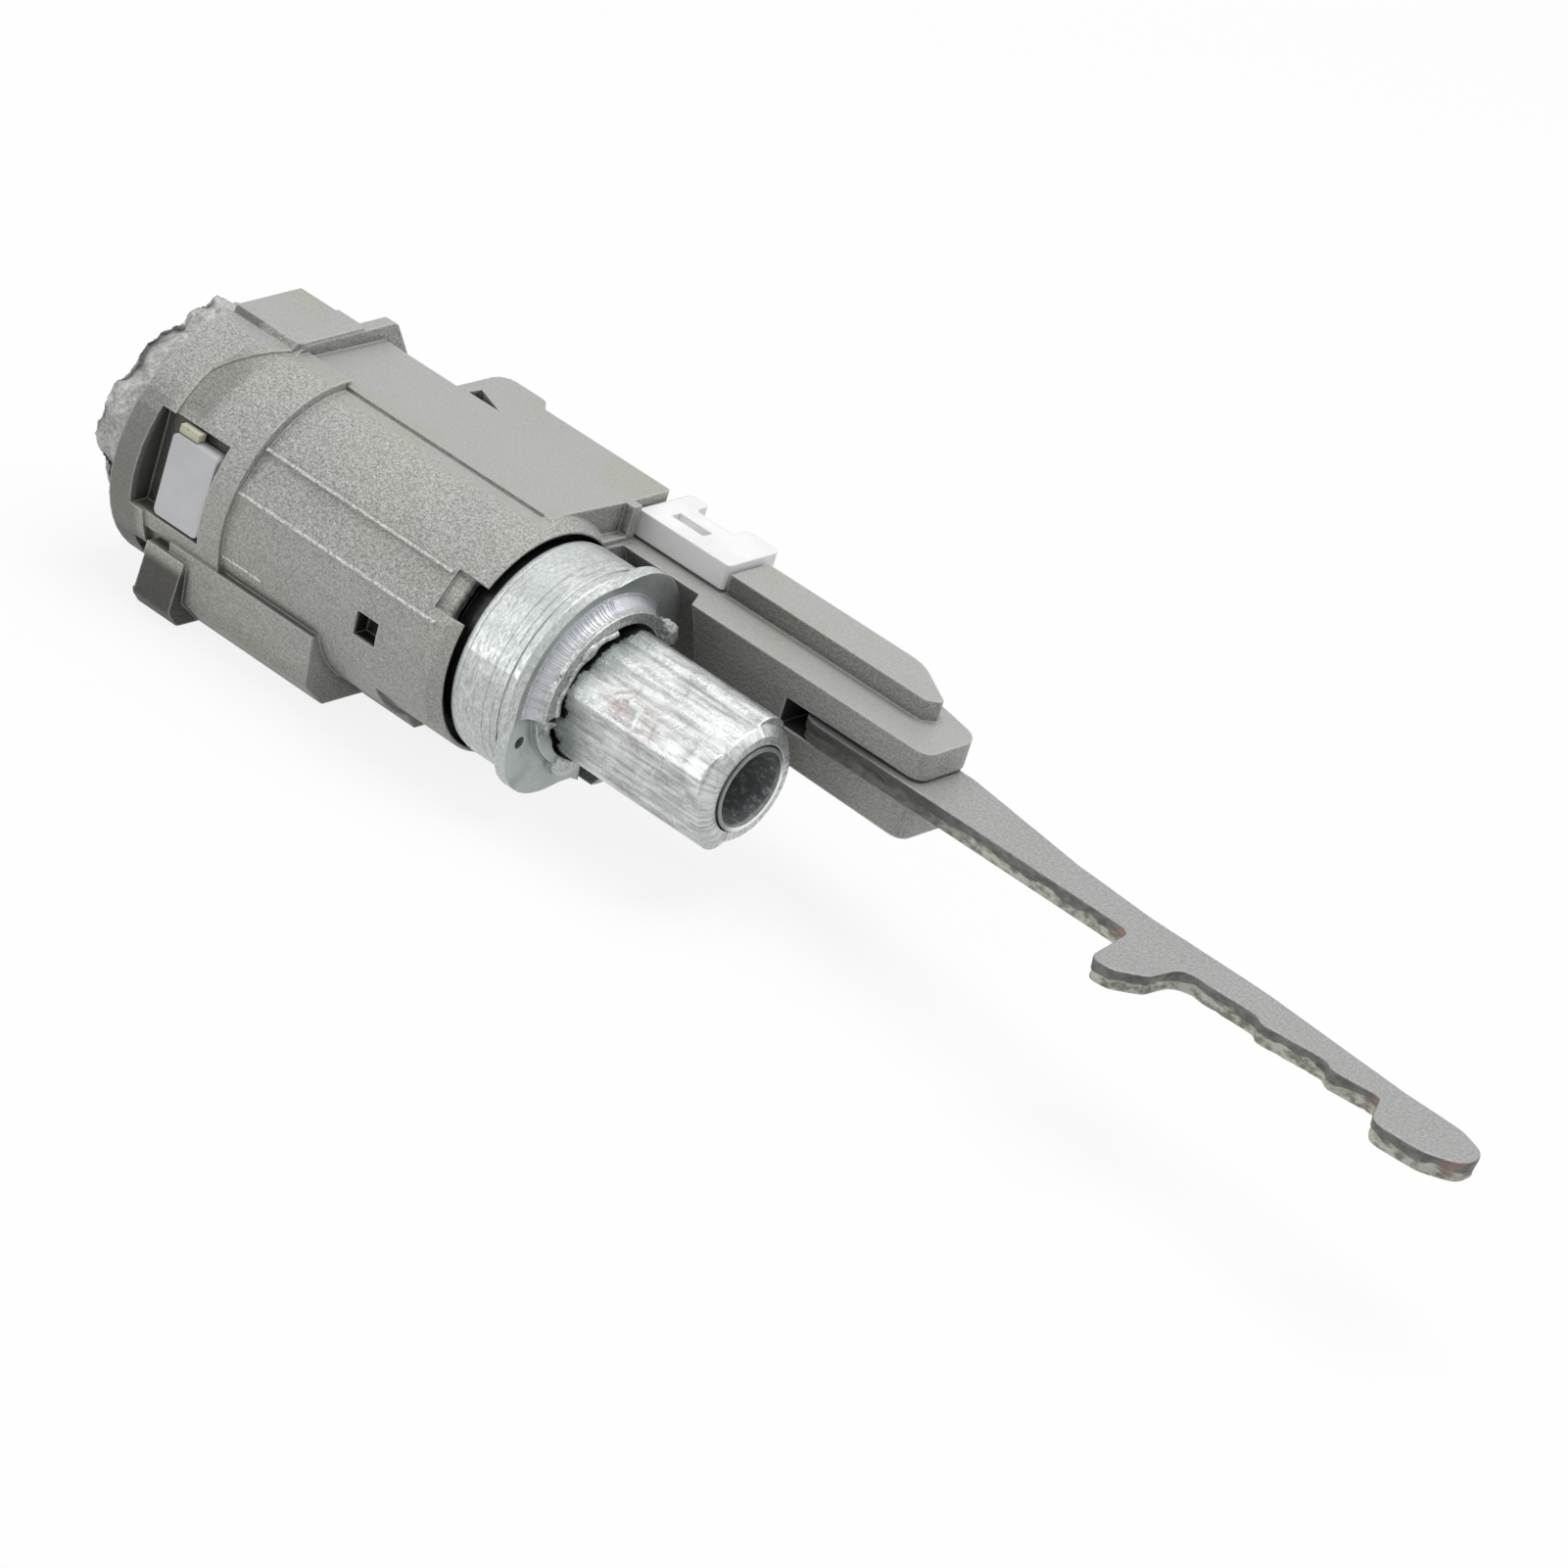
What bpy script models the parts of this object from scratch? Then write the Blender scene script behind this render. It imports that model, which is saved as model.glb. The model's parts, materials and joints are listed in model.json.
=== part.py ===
"""Vehicle ignition lock cylinder with a driver ring, a hollow output shaft and a long flat lock bar.

The rotor axis is the X axis of every shape below. x = 0 is the ring's front edge, beside the housing's
rear rim. +X points to the tip of the lock bar, +Y to the side that carries the arm, +Z up.
The whole lock hangs from one empty, which puts the middle of its base at the world's origin.
"""
import math

import bmesh
import bpy
from mathutils import Matrix, Vector

MM = 0.001

# Fits
GAP = 0.3 * MM               # between pieces that touch or turn
SLIP = 0.15 * MM             # each side of a small piece that slides in its slot

# Rotor
PLUG_RADIUS = 8.4 * MM
PLUG_FRONT_X = -44.2 * MM
KEYWAY_WIDTH = 3.0 * MM
KEYWAY_MARGIN = 0.6 * MM       # keyway taller than the wafers' windows
KEYWAY_REAR_X = -13.0 * MM
FACE_WALL = 1.3 * MM

# Wafers
WAFER_COUNT = 8
WAFER_PITCH = 2.3 * MM
WAFER_FIRST_X = -34.0 * MM
WAFER_THICKNESS = 1.0 * MM
WAFER_WIDTH = 8.0 * MM
WAFER_MARGIN = 0.3 * MM        # plug left over a wafer's corners at the end of its travel
WAFER_TRAVEL = 1.2 * MM
WAFER_TAB = 1.9 * MM
WAFER_TAB_HEIGHT = 1.1 * MM
WAFER_TAB_Z = -0.2 * MM
WAFER_WINDOW_WIDTH = 3.4 * MM
WAFER_RAIL = 2.3 * MM          # solid strip above and below the window
WAFER_STEP = 0.35 * MM
WAFER_CUTS = (1, 3, 0, 2, 3, 1, 2, 0)
WAFER_GROOVE_DEPTH = 1.1 * MM
SPRING_LENGTH = 3.4 * MM
SPRING_RADIUS = 0.42 * MM
SPRING_WIRE = 0.12 * MM
SPRING_TURNS = 4

# Dust shutter
SHUTTER_THICKNESS = 0.7 * MM
SHUTTER_OVERLAP = 0.4 * MM
SHUTTER_PIN_RADIUS = 0.45 * MM
SHUTTER_PIN_SIDE = 2.0 * MM
SHUTTER_KNUCKLE = 1.0 * MM
SHUTTER_KNUCKLE_LENGTH = 2.0 * MM
SHUTTER_SWING = math.radians(70)

# Output shaft
SHAFT_RADIUS = PLUG_RADIUS - 2.65 * MM
SHAFT_END_X = 25.0 * MM
SHAFT_CHAMFER = 0.7 * MM
SHAFT_RIB_HEIGHT = 0.75 * MM
SHAFT_RIB_SPREAD = 22        # degrees each side of a rib's crest
SHAFT_RIB_ANGLES = (70, 160, 250, 340)
SHAFT_COLLAR_WALL = 1.1 * MM
BORE_RADIUS = SHAFT_RADIUS - 2.05 * MM
BORE_DEPTH = 20.0 * MM
LINER_WALL = 0.4 * MM
LINER_PROUD = 0.2 * MM
TANG_THICKNESS = 3.0 * MM
TANG_LENGTH = 3.0 * MM
TANG_MARGIN = 2.0 * MM

# Housing
BODY_WALL = 3.2 * MM
BODY_RADIUS = PLUG_RADIUS + BODY_WALL
BODY_SHOULDER = BODY_RADIUS - 0.3 * MM
PLATFORM_Z = BODY_RADIUS
PLATFORM_SIDE = 15.8 * MM
PLATFORM_FRONT_SIDE = 10.7 * MM
SHOULDER_SIDE = PLATFORM_SIDE + 1.4 * MM
SHOULDER_X = -24.0 * MM
SHOULDER_LENGTH = 6.4 * MM
BASE_Z = -BODY_RADIUS - 1.0 * MM
BASE_LEFT = -2.0 * MM
BASE_NEAR_END_X = -9.0 * MM
BASE_FAR_START = 2.5 * MM
UNDERSIDE_RADIUS = BODY_RADIUS - 0.6 * MM
BASE_RIGHT = 10.0 * MM
RAIL_LEFT = 4.2 * MM - BODY_RADIUS
RAIL_END_X = -15.5 * MM
BODY_REAR_X = -1.2 * MM
BODY_BEVEL_LENGTH = 1.6 * MM
RIM_RADIUS = BODY_RADIUS - 1.0 * MM
RIM_DEPTH = 2.0 * MM
COLLAR_REAR_X = -27.6 * MM
COLLAR_RADIUS = BODY_RADIUS + 0.5 * MM
GROOVE_WIDTH = 0.35 * MM
GROOVE_DEPTH = 0.35 * MM
WINDOW_X = (-11.4 * MM, -8.8 * MM)
WINDOW_Z = (-2.3 * MM, 0.1 * MM)
WINDOW_DEPTH = 2.0 * MM
GROOVE_END_X = -3.4 * MM
NOTCH_LENGTH = 3.2 * MM
NOTCH_DEPTH = 1.0 * MM
PLATFORM_SETBACK = 1.0 * MM
FACET_SIDE = 9.6 * MM
FACET_Z = PLATFORM_Z - 2.9 * MM

# Flange
FLANGE_FRONT_X = -41.0 * MM
FLANGE_RADIUS = BODY_RADIUS + 0.8 * MM
FLANGE_PLATE = 4.2 * MM
FLANGE_TOP_Z = PLATFORM_Z + 1.7 * MM
FLANGE_TOP_SIDE = 7.7 * MM
FLANGE_BLOCK_LENGTH = 7.9 * MM
FLANGE_STEP_SIDE = -7.5 * MM
LIP_PLATE = 1.2 * MM
LIP_TOP_SIDE = 11.9 * MM
LIP_SIDE = 15.4 * MM
EAR_REAR_X = -31.0 * MM
EAR_PLATE = 4.6 * MM
SLIDER_WINDOW_REAR_X = -30.2 * MM
SLIDER_WINDOW_Z = (-3.6 * MM, 6.0 * MM)
SLIDER_WINDOW_WALL = 1.2 * MM   # left between the slider's pocket and the plug
LOWER_WINDOW_Z = (-10.6 * MM, -7.2 * MM)

# Key end collar
HEAD_FRONT_X = -44.8 * MM
HEAD_RADIUS = PLUG_RADIUS + 3.1 * MM
HEAD_SCALLOPS = 9
HEAD_SCALLOP_DEPTH = 0.5 * MM
HEAD_FLAT = PLUG_RADIUS + 1.4 * MM
HEAD_FLAT_ANGLE = math.radians(209)
HEAD_RIM_WIDTH = 0.8 * MM
HEAD_RIM_DEPTH = 0.9 * MM

# Driver ring. A lobe is its angle, its share of the highest rise, its half width in degrees, its front and rear edge
RING_RADIUS = BODY_RADIUS - 1.1 * MM
RING_RIM_X = 6.4 * MM
RING_RIDGE_X = 5.0 * MM
RING_RIDGE = 0.15 * MM
RING_CHAMFER = 0.6 * MM
RING_LAND = 0.5 * MM
RING_NECK_RADIUS = RING_RADIUS - 1.1 * MM
RING_NECK_LENGTH = 2.6 * MM
RING_CREST_X = 8.2 * MM
RING_FILLET = 1.4 * MM
RING_LOBE = 1.4 * MM
RING_LOBES = ((50, 0.78, 42, 5.2 * MM, 6.4 * MM), (228, 0.68, 40, 5.2 * MM, 6.4 * MM), (301, 1.0, 26, 2.0 * MM, 7.1 * MM))
RING_BOSS_START = 48          # degrees, where the raised boss begins
RING_BOSS_END = 190
RING_LOW_BOSS_X = 7.1 * MM
RING_LOW_BOSS = 0.5 * MM
RING_CRESCENT = 0.9 * MM      # how far the boss stands off the shaft on one side
RING_CRESCENT_ANGLE = 76
RING_POCKET_START = 282       # degrees, in the widest lobe
RING_POCKET_END = 320
RING_POCKET_DEPTH = 3.0 * MM
RING_POCKET_WALL = 0.8 * MM
RING_HOLE_RADIUS = 0.6 * MM
RING_HOLE_INSET = 1.5 * MM
RING_HOLE_ANGLE = 207
RING_STAKES = ((258, 1.6 * MM, 1.2 * MM), (30, 1.1 * MM, 2.0 * MM))   # angle, radius, place outside the hole

# Key sensor slider
SLIDER_LENGTH = 5.4 * MM
SLIDER_HEIGHT = 8.4 * MM
SLIDER_DEPTH = 1.6 * MM
SLIDER_TRAVEL = 2.2 * MM
SLIDER_CAP_HEIGHT = 0.9 * MM
SLIDER_CAP_LENGTH = 2.6 * MM

# Arm
ARM_SIDE = 7.0 * MM
ARM_FAR_SIDE = 16.8 * MM
ARM_TOP_Z = 8.1 * MM
ARM_BOTTOM_Z = -0.3 * MM
ARM_END_X = 36.6 * MM
ARM_NOSE_SIDE = 14.4 * MM
ARM_TAPER_X = 27.5 * MM
ARM_CORNER = 1.2 * MM
ARM_RAIL_Z = 10.1 * MM
ARM_RAIL_SIDE = 11.6 * MM
ARM_RAIL_X = 9.2 * MM
ARM_RAIL_END_X = 33.0 * MM
SLOT_FRONT_X = 21.3 * MM
SLOT_FLOOR_Z = 2.9 * MM
SLOT_SIDE_ROOM = 1.0 * MM

# Lock bar, in plan, measured from its pivot pin
BAR_THICKNESS = 2.0 * MM
PIVOT_X = 27.0 * MM
PIVOT_Y = 10.0 * MM
PIVOT_RADIUS = 1.5 * MM
PIVOT_TOP_WALL = 1.2 * MM
BAR_ROOT_REACH = 3.5 * MM
BAR_SIDE = 5.9 * MM
BAR_WIDE_SIDE = 13.4 * MM
BAR_NECK_X = 51.5 * MM
BAR_NECK_SIDE = 10.9 * MM
BAR_MID_X = 60.3 * MM
BAR_MID_SIDE = 10.1 * MM
BAR_HOOK_X = 61.4 * MM
BAR_HOOK_LENGTH = 5.4 * MM
BAR_HOOK_SIDE = -1.0 * MM
BAR_TAIL_SIDE = 6.0 * MM
BAR_TAIL_X = 88.6 * MM
BAR_TIP_X = 98.4 * MM
BAR_TIP_SIDE = 1.9 * MM
BAR_TIP_FAR_SIDE = 8.7 * MM
BAR_NICKS = (75.7 * MM, 83.3 * MM)    # small steps in the tail's near edge
BAR_NICK_LENGTH = 0.7 * MM
BAR_NICK_DEPTH = 0.85 * MM

# White rear holder
HOLDER_NEAR_SIDE = ARM_RAIL_SIDE - 0.3 * MM
HOLDER_FAR_SIDE = PLATFORM_SIDE + 0.8 * MM
HOLDER_TAB_SIDE = PLATFORM_SIDE + 2.8 * MM
HOLDER_TOP_Z = 10.8 * MM
HOLDER_STEP_X = 0.4 * MM
HOLDER_TAB_X = 4.9 * MM
HOLDER_SLOT_X = (0.2 * MM, 4.0 * MM)
HOLDER_SLOT_SIDE = (13.4 * MM, 14.6 * MM)
HOLDER_SLOT_DEPTH = 0.8 * MM

ROUND_STEPS = 56


# Shape helpers

def mesh_object(name, bm, parent, location=(0, 0, 0), smooth=True):
    """Turn a bmesh into a named object under its parent, with its faces pointing out."""
    bmesh.ops.remove_doubles(bm, verts=bm.verts, dist=1e-7)
    bmesh.ops.recalc_face_normals(bm, faces=bm.faces)
    mesh = bpy.data.meshes.new(name)
    bm.to_mesh(mesh)
    bm.free()
    if smooth:
        mesh.shade_smooth()
        mesh.set_sharp_from_angle(angle=math.radians(32))
    obj = bpy.data.objects.new(name, mesh)
    bpy.context.scene.collection.objects.link(obj)
    obj.parent = parent
    obj.location = location
    return obj


def empty(name, parent, location):
    obj = bpy.data.objects.new(name, None)
    bpy.context.scene.collection.objects.link(obj)
    obj.parent = parent
    obj.location = location
    return obj


def extrude(points, direction):
    """A closed prism: the outline's points are 3-D, the direction is the extrusion."""
    bm = bmesh.new()
    face = bm.faces.new([bm.verts.new(p) for p in points])
    swept = bmesh.ops.extrude_face_region(bm, geom=[face])
    moved = [v for v in swept["geom"] if isinstance(v, bmesh.types.BMVert)]
    bmesh.ops.translate(bm, verts=moved, vec=direction)
    return bm


def along_x(outline, x0, x1):
    """Extrude an outline of (y, z) points from x0 to x1."""
    return extrude([(x0, y, z) for y, z in outline], (x1 - x0, 0, 0))


def along_z(outline, z0, z1):
    """Extrude an outline of (x, y) points from z0 to z1."""
    return extrude([(x, y, z0) for x, y in outline], (0, 0, z1 - z0))


def along_y(outline, y0, y1):
    """Extrude an outline of (x, z) points from y0 to y1."""
    return extrude([(x, y0, z) for x, z in outline], (0, y1 - y0, 0))


def turned(profile, steps=ROUND_STEPS, sweep=2 * math.pi, start=0.0):
    """Turn a closed profile of (x, radius) points about the X axis."""
    bm = bmesh.new()
    turn = Matrix.Rotation(start, 3, "X")
    ring = [bm.verts.new(turn @ Vector((x, r, 0))) for x, r in profile]
    full = sweep > 2 * math.pi - 1e-6
    edges = [bm.edges.new((a, b)) for a, b in zip(ring, ring[1:] + ring[:1])]
    geom = ring + edges
    if not full:
        geom = geom + [bm.faces.new(ring)]
    bmesh.ops.spin(bm, geom=geom, cent=(0, 0, 0), axis=(1, 0, 0), angle=sweep, steps=steps,
                   use_merge=full, use_duplicate=False)
    return bm


def cylinder_z(radius, z0, z1, x=0.0, y=0.0, steps=24):
    return along_z(circle(radius, steps, x, y), z0, z1)


def cylinder_x(radius, x0, x1, y=0.0, z=0.0, steps=24):
    return along_x(circle(radius, steps, y, z), x0, x1)


def box(x, y, z):
    return along_x([(y[0], z[0]), (y[1], z[0]), (y[1], z[1]), (y[0], z[1])], x[0], x[1])


def circle(radius, steps, a=0.0, b=0.0):
    angles = [2 * math.pi * (i + 0.5) / steps for i in range(steps)]
    return [(a + radius * math.cos(t), b + radius * math.sin(t)) for t in angles]


def arc(radius, start, end, steps):
    """Points on a circle about the axis, angles in degrees from +Y towards +Z."""
    angles = [math.radians(start + (end - start) * i / steps) for i in range(steps + 1)]
    return [(radius * math.cos(t), radius * math.sin(t)) for t in angles]


def rounded(points, steps=4):
    """Round the corners of an outline. Each point is (a, b) or (a, b, corner radius)."""
    out = []
    for i, point in enumerate(points):
        here = Vector(point[:2])
        radius = point[2] if len(point) > 2 else 0.0
        if radius == 0.0:
            out.append((here.x, here.y))
            continue
        back = (Vector(points[i - 1][:2]) - here).normalized()
        ahead = (Vector(points[(i + 1) % len(points)][:2]) - here).normalized()
        half = back.angle(ahead) / 2
        reach = radius / math.tan(half)
        centre = here + (back + ahead).normalized() * (radius / math.sin(half))
        first = here + back * reach - centre
        last = here + ahead * reach - centre
        turn = first.angle_signed(last)
        for k in range(steps + 1):
            spoke = first.copy()
            spoke.rotate(Matrix.Rotation(-turn * k / steps, 2))
            out.append((centre.x + spoke.x, centre.y + spoke.y))
    return out


def coil(radius, wire, turns, length, per_turn=10, sides=4):
    """A round wire spring along +Z from z = 0, with closed ends."""
    bm = bmesh.new()
    rings = []
    count = turns * per_turn
    rise = length - 2 * wire
    for i in range(count + 1):
        t = i / count
        eased = t * t * (3 - 2 * t)
        angle = 2 * math.pi * turns * t
        out = Vector((math.cos(angle), math.sin(angle), 0))
        middle = out * radius + Vector((0, 0, wire + rise * eased))
        corners = []
        for k in range(sides):
            a = 2 * math.pi * k / sides
            corners.append(bm.verts.new(middle + out * wire * math.cos(a) + Vector((0, 0, wire * math.sin(a)))))
        rings.append(corners)
    for a, b in zip(rings, rings[1:]):
        for k in range(sides):
            m = (k + 1) % sides
            bm.faces.new((a[k], a[m], b[m], b[k]))
    bm.faces.new(rings[0])
    bm.faces.new(list(reversed(rings[-1])))
    return bm


def boolean(target, operation, bm, label):
    """Cut a shape out of the target, or join it on. The tool stays as a hidden wire object."""
    tool = mesh_object(f"{target.name}.{label}", bm, target, smooth=False)
    tool.hide_render = True
    tool.display_type = "WIRE"
    modifier = target.modifiers.new(label, "BOOLEAN")
    modifier.operation = operation
    modifier.solver = "EXACT"
    modifier.object = tool
    return tool


def cut(target, bm, label):
    return boolean(target, "DIFFERENCE", bm, label)


def join(target, bm, label):
    return boolean(target, "UNION", bm, label)


def merged(parts):
    """Put several separate shapes into one mesh, for a pattern of cutters."""
    whole = bmesh.new()
    scratch = bpy.data.meshes.new("pattern")
    for part in parts:
        bmesh.ops.recalc_face_normals(part, faces=part.faces)
        part.to_mesh(scratch)
        part.free()
        whole.from_mesh(scratch)
    bpy.data.meshes.remove(scratch)
    return whole


def paint(obj, colour, roughness, metallic):
    material = bpy.data.materials.new(obj.name)
    material.use_nodes = True
    shader = material.node_tree.nodes["Principled BSDF"]
    shader.inputs["Base Color"].default_value = (*colour, 1.0)
    shader.inputs["Roughness"].default_value = roughness
    shader.inputs["Metallic"].default_value = metallic
    material.diffuse_color = (*colour, 1.0)
    obj.data.materials.clear()
    obj.data.materials.append(material)


CAST_ZINC = ((0.42, 0.42, 0.40), 0.62, 0.75)
BRIGHT_ZINC = ((0.66, 0.68, 0.69), 0.34, 0.95)
STEEL = ((0.46, 0.45, 0.43), 0.40, 0.95)
SPRING_STEEL = ((0.55, 0.55, 0.55), 0.30, 1.0)
BRASS = ((0.70, 0.55, 0.30), 0.35, 1.0)
WHITE_PLASTIC = ((0.80, 0.80, 0.80), 0.45, 0.0)
BLUE_WHITE_PLASTIC = ((0.60, 0.62, 0.66), 0.45, 0.0)
CREAM_PLASTIC = ((0.72, 0.70, 0.58), 0.50, 0.0)


# Housing

def body_outline():
    """The faceted tube: a platform on top, a curved near side with two ridges, a flat base."""
    near = arc(BODY_SHOULDER, 92, 142, 8)
    lower = [p for p in arc(BODY_RADIUS, 178, 252, 10) if p[1] > BASE_Z]
    ridge = arc(BODY_RADIUS, 164, 164, 1)[:1]
    far = [(BASE_RIGHT, BASE_Z), (PLATFORM_FRONT_SIDE, ARM_BOTTOM_Z), (PLATFORM_FRONT_SIDE, PLATFORM_Z)]
    return [(0.0, PLATFORM_Z)] + near + ridge + lower + [(BASE_LEFT, BASE_Z)] + far


def shoulder_outline():
    """The wide far half of the platform, behind the shoulder, in plan."""
    front = SHOULDER_X
    back = SHOULDER_X + SHOULDER_LENGTH
    inner = PLATFORM_FRONT_SIDE / 2
    rear = BODY_REAR_X - PLATFORM_SETBACK
    return rounded([
        (front, inner), (rear, inner), (rear, PLATFORM_SIDE, 0.4 * MM),
        (back, PLATFORM_SIDE), (back - 1.2 * MM, SHOULDER_SIDE, 1.0 * MM), (front, SHOULDER_SIDE, 1.6 * MM),
    ])


def flange_rear_x():
    return FLANGE_FRONT_X + FLANGE_BLOCK_LENGTH


def flange_outline():
    """A round plate with a squared block on its top."""
    side = FLANGE_TOP_SIDE
    near = arc(FLANGE_RADIUS, 96, 286, 26)
    low = [(p[0], max(p[1], BASE_Z)) for p in near]
    far = [(BASE_RIGHT, BASE_Z + 3 * MM), (side + 2 * MM, BASE_Z + 8 * MM), (side, PLATFORM_Z - 6 * MM)]
    return rounded([(side, FLANGE_TOP_Z, 0.5 * MM), (-1.0 * MM, FLANGE_TOP_Z - 0.2 * MM)] + low + far)


def flange_step_outline():
    """What is taken off the flange's near rear corner, in plan: it leaves a thin plate and a longer top block."""
    plate = FLANGE_FRONT_X + FLANGE_PLATE
    rear = flange_rear_x()
    return rounded([
        (plate, -2 * FLANGE_RADIUS), (plate, FLANGE_STEP_SIDE, 1.5 * MM), (rear, -0.5 * MM),
        (rear + 1 * MM, -0.5 * MM), (rear + 1 * MM, -2 * FLANGE_RADIUS),
    ])


def lip_outline():
    """The rear lip of the flange, which slants out on the far side."""
    near = arc(COLLAR_RADIUS - GAP, 100, 240, 20)
    top_z = FLANGE_TOP_Z - 0.2 * MM
    low = (BASE_RIGHT, BASE_Z, 1.0 * MM)
    mid = (LIP_SIDE, BASE_Z + 12 * MM, 3.0 * MM)
    high = (LIP_SIDE, FLANGE_TOP_Z - 5.0 * MM, 2.5 * MM)
    top = (LIP_TOP_SIDE, top_z, 1.0 * MM)
    return rounded([(0.0, top_z - GAP)] + near + [(BASE_LEFT, BASE_Z), low, mid, high, top])


def ear_outline():
    """The lower near corner of the flange, which reaches past the round plate."""
    side = 0.5 * MM - FLANGE_RADIUS
    return rounded([
        (side + 0.3 * MM, BASE_Z + 6.6 * MM), (side, BASE_Z + 1.6 * MM, 1.2 * MM), (side + 1.5 * MM, BASE_Z, 1.2 * MM),
        (0.0, BASE_Z), (0.0, BASE_Z + 4.6 * MM), (side / 2, BASE_Z + 6.6 * MM),
    ])


def base_rail_outline():
    """The rail that widens the base under the front half of the body."""
    side = 0.3 * MM - BODY_RADIUS
    return rounded([
        (side, BASE_Z + 7.6 * MM), (side + 0.9 * MM, BASE_Z + 2.4 * MM, 1.0 * MM), (RAIL_LEFT, BASE_Z, 0.8 * MM),
        (0.0, BASE_Z), (0.0, BASE_Z + 5.6 * MM), (side / 2, BASE_Z + 7.6 * MM),
    ])


def arm_outline():
    """The arm in plan, from inside the body to its rounded nose."""
    return rounded([
        (-14.0 * MM, ARM_SIDE), (ARM_END_X, ARM_SIDE, ARM_CORNER),
        (ARM_END_X, ARM_NOSE_SIDE, 2 * ARM_CORNER), (ARM_TAPER_X, ARM_FAR_SIDE, 4 * ARM_CORNER),
        (-14.0 * MM, ARM_FAR_SIDE),
    ])


def arm_rail_outline():
    """The raised rail along the arm's far side, which fades out at the nose."""
    return rounded([
        (ARM_RAIL_X, ARM_RAIL_SIDE), (ARM_RAIL_END_X - 1.0 * MM, ARM_RAIL_SIDE, 0.5 * MM),
        (ARM_RAIL_END_X, ARM_RAIL_SIDE + 1.4 * MM, 0.5 * MM), (ARM_TAPER_X, ARM_FAR_SIDE, 4 * ARM_CORNER),
        (ARM_RAIL_X, ARM_FAR_SIDE),
    ])


def cut_rear_bevel(housing):
    """The bevel of the rear rim: all of the near side, and a pocket in the platform's rear edge on the far side."""
    edge = RIM_RADIUS + 0.25 * MM
    front = BODY_REAR_X - BODY_BEVEL_LENGTH
    rear = BODY_REAR_X + 1 * MM
    bevel = cut(housing, turned([(front, BODY_RADIUS + 0.2 * MM), (BODY_REAR_X, edge), (rear, edge),
                                 (rear, 2 * BODY_RADIUS), (front, 2 * BODY_RADIUS)], steps=64), "rear_bevel")
    far = 3 * BODY_RADIUS
    cut(bevel, box((front - 1 * MM, rear + 1 * MM), (0.4 * MM, far), (-far, FACET_Z)), "far_side")
    platform = [(front - 1 * MM, 0.0), (front, 0.0), (BODY_REAR_X - PLATFORM_SETBACK, FACET_SIDE),
                (rear + 1 * MM, FACET_SIDE), (rear + 1 * MM, far), (front - 1 * MM, far)]
    cut(bevel, along_z(platform, 0, far), "platform")


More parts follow.
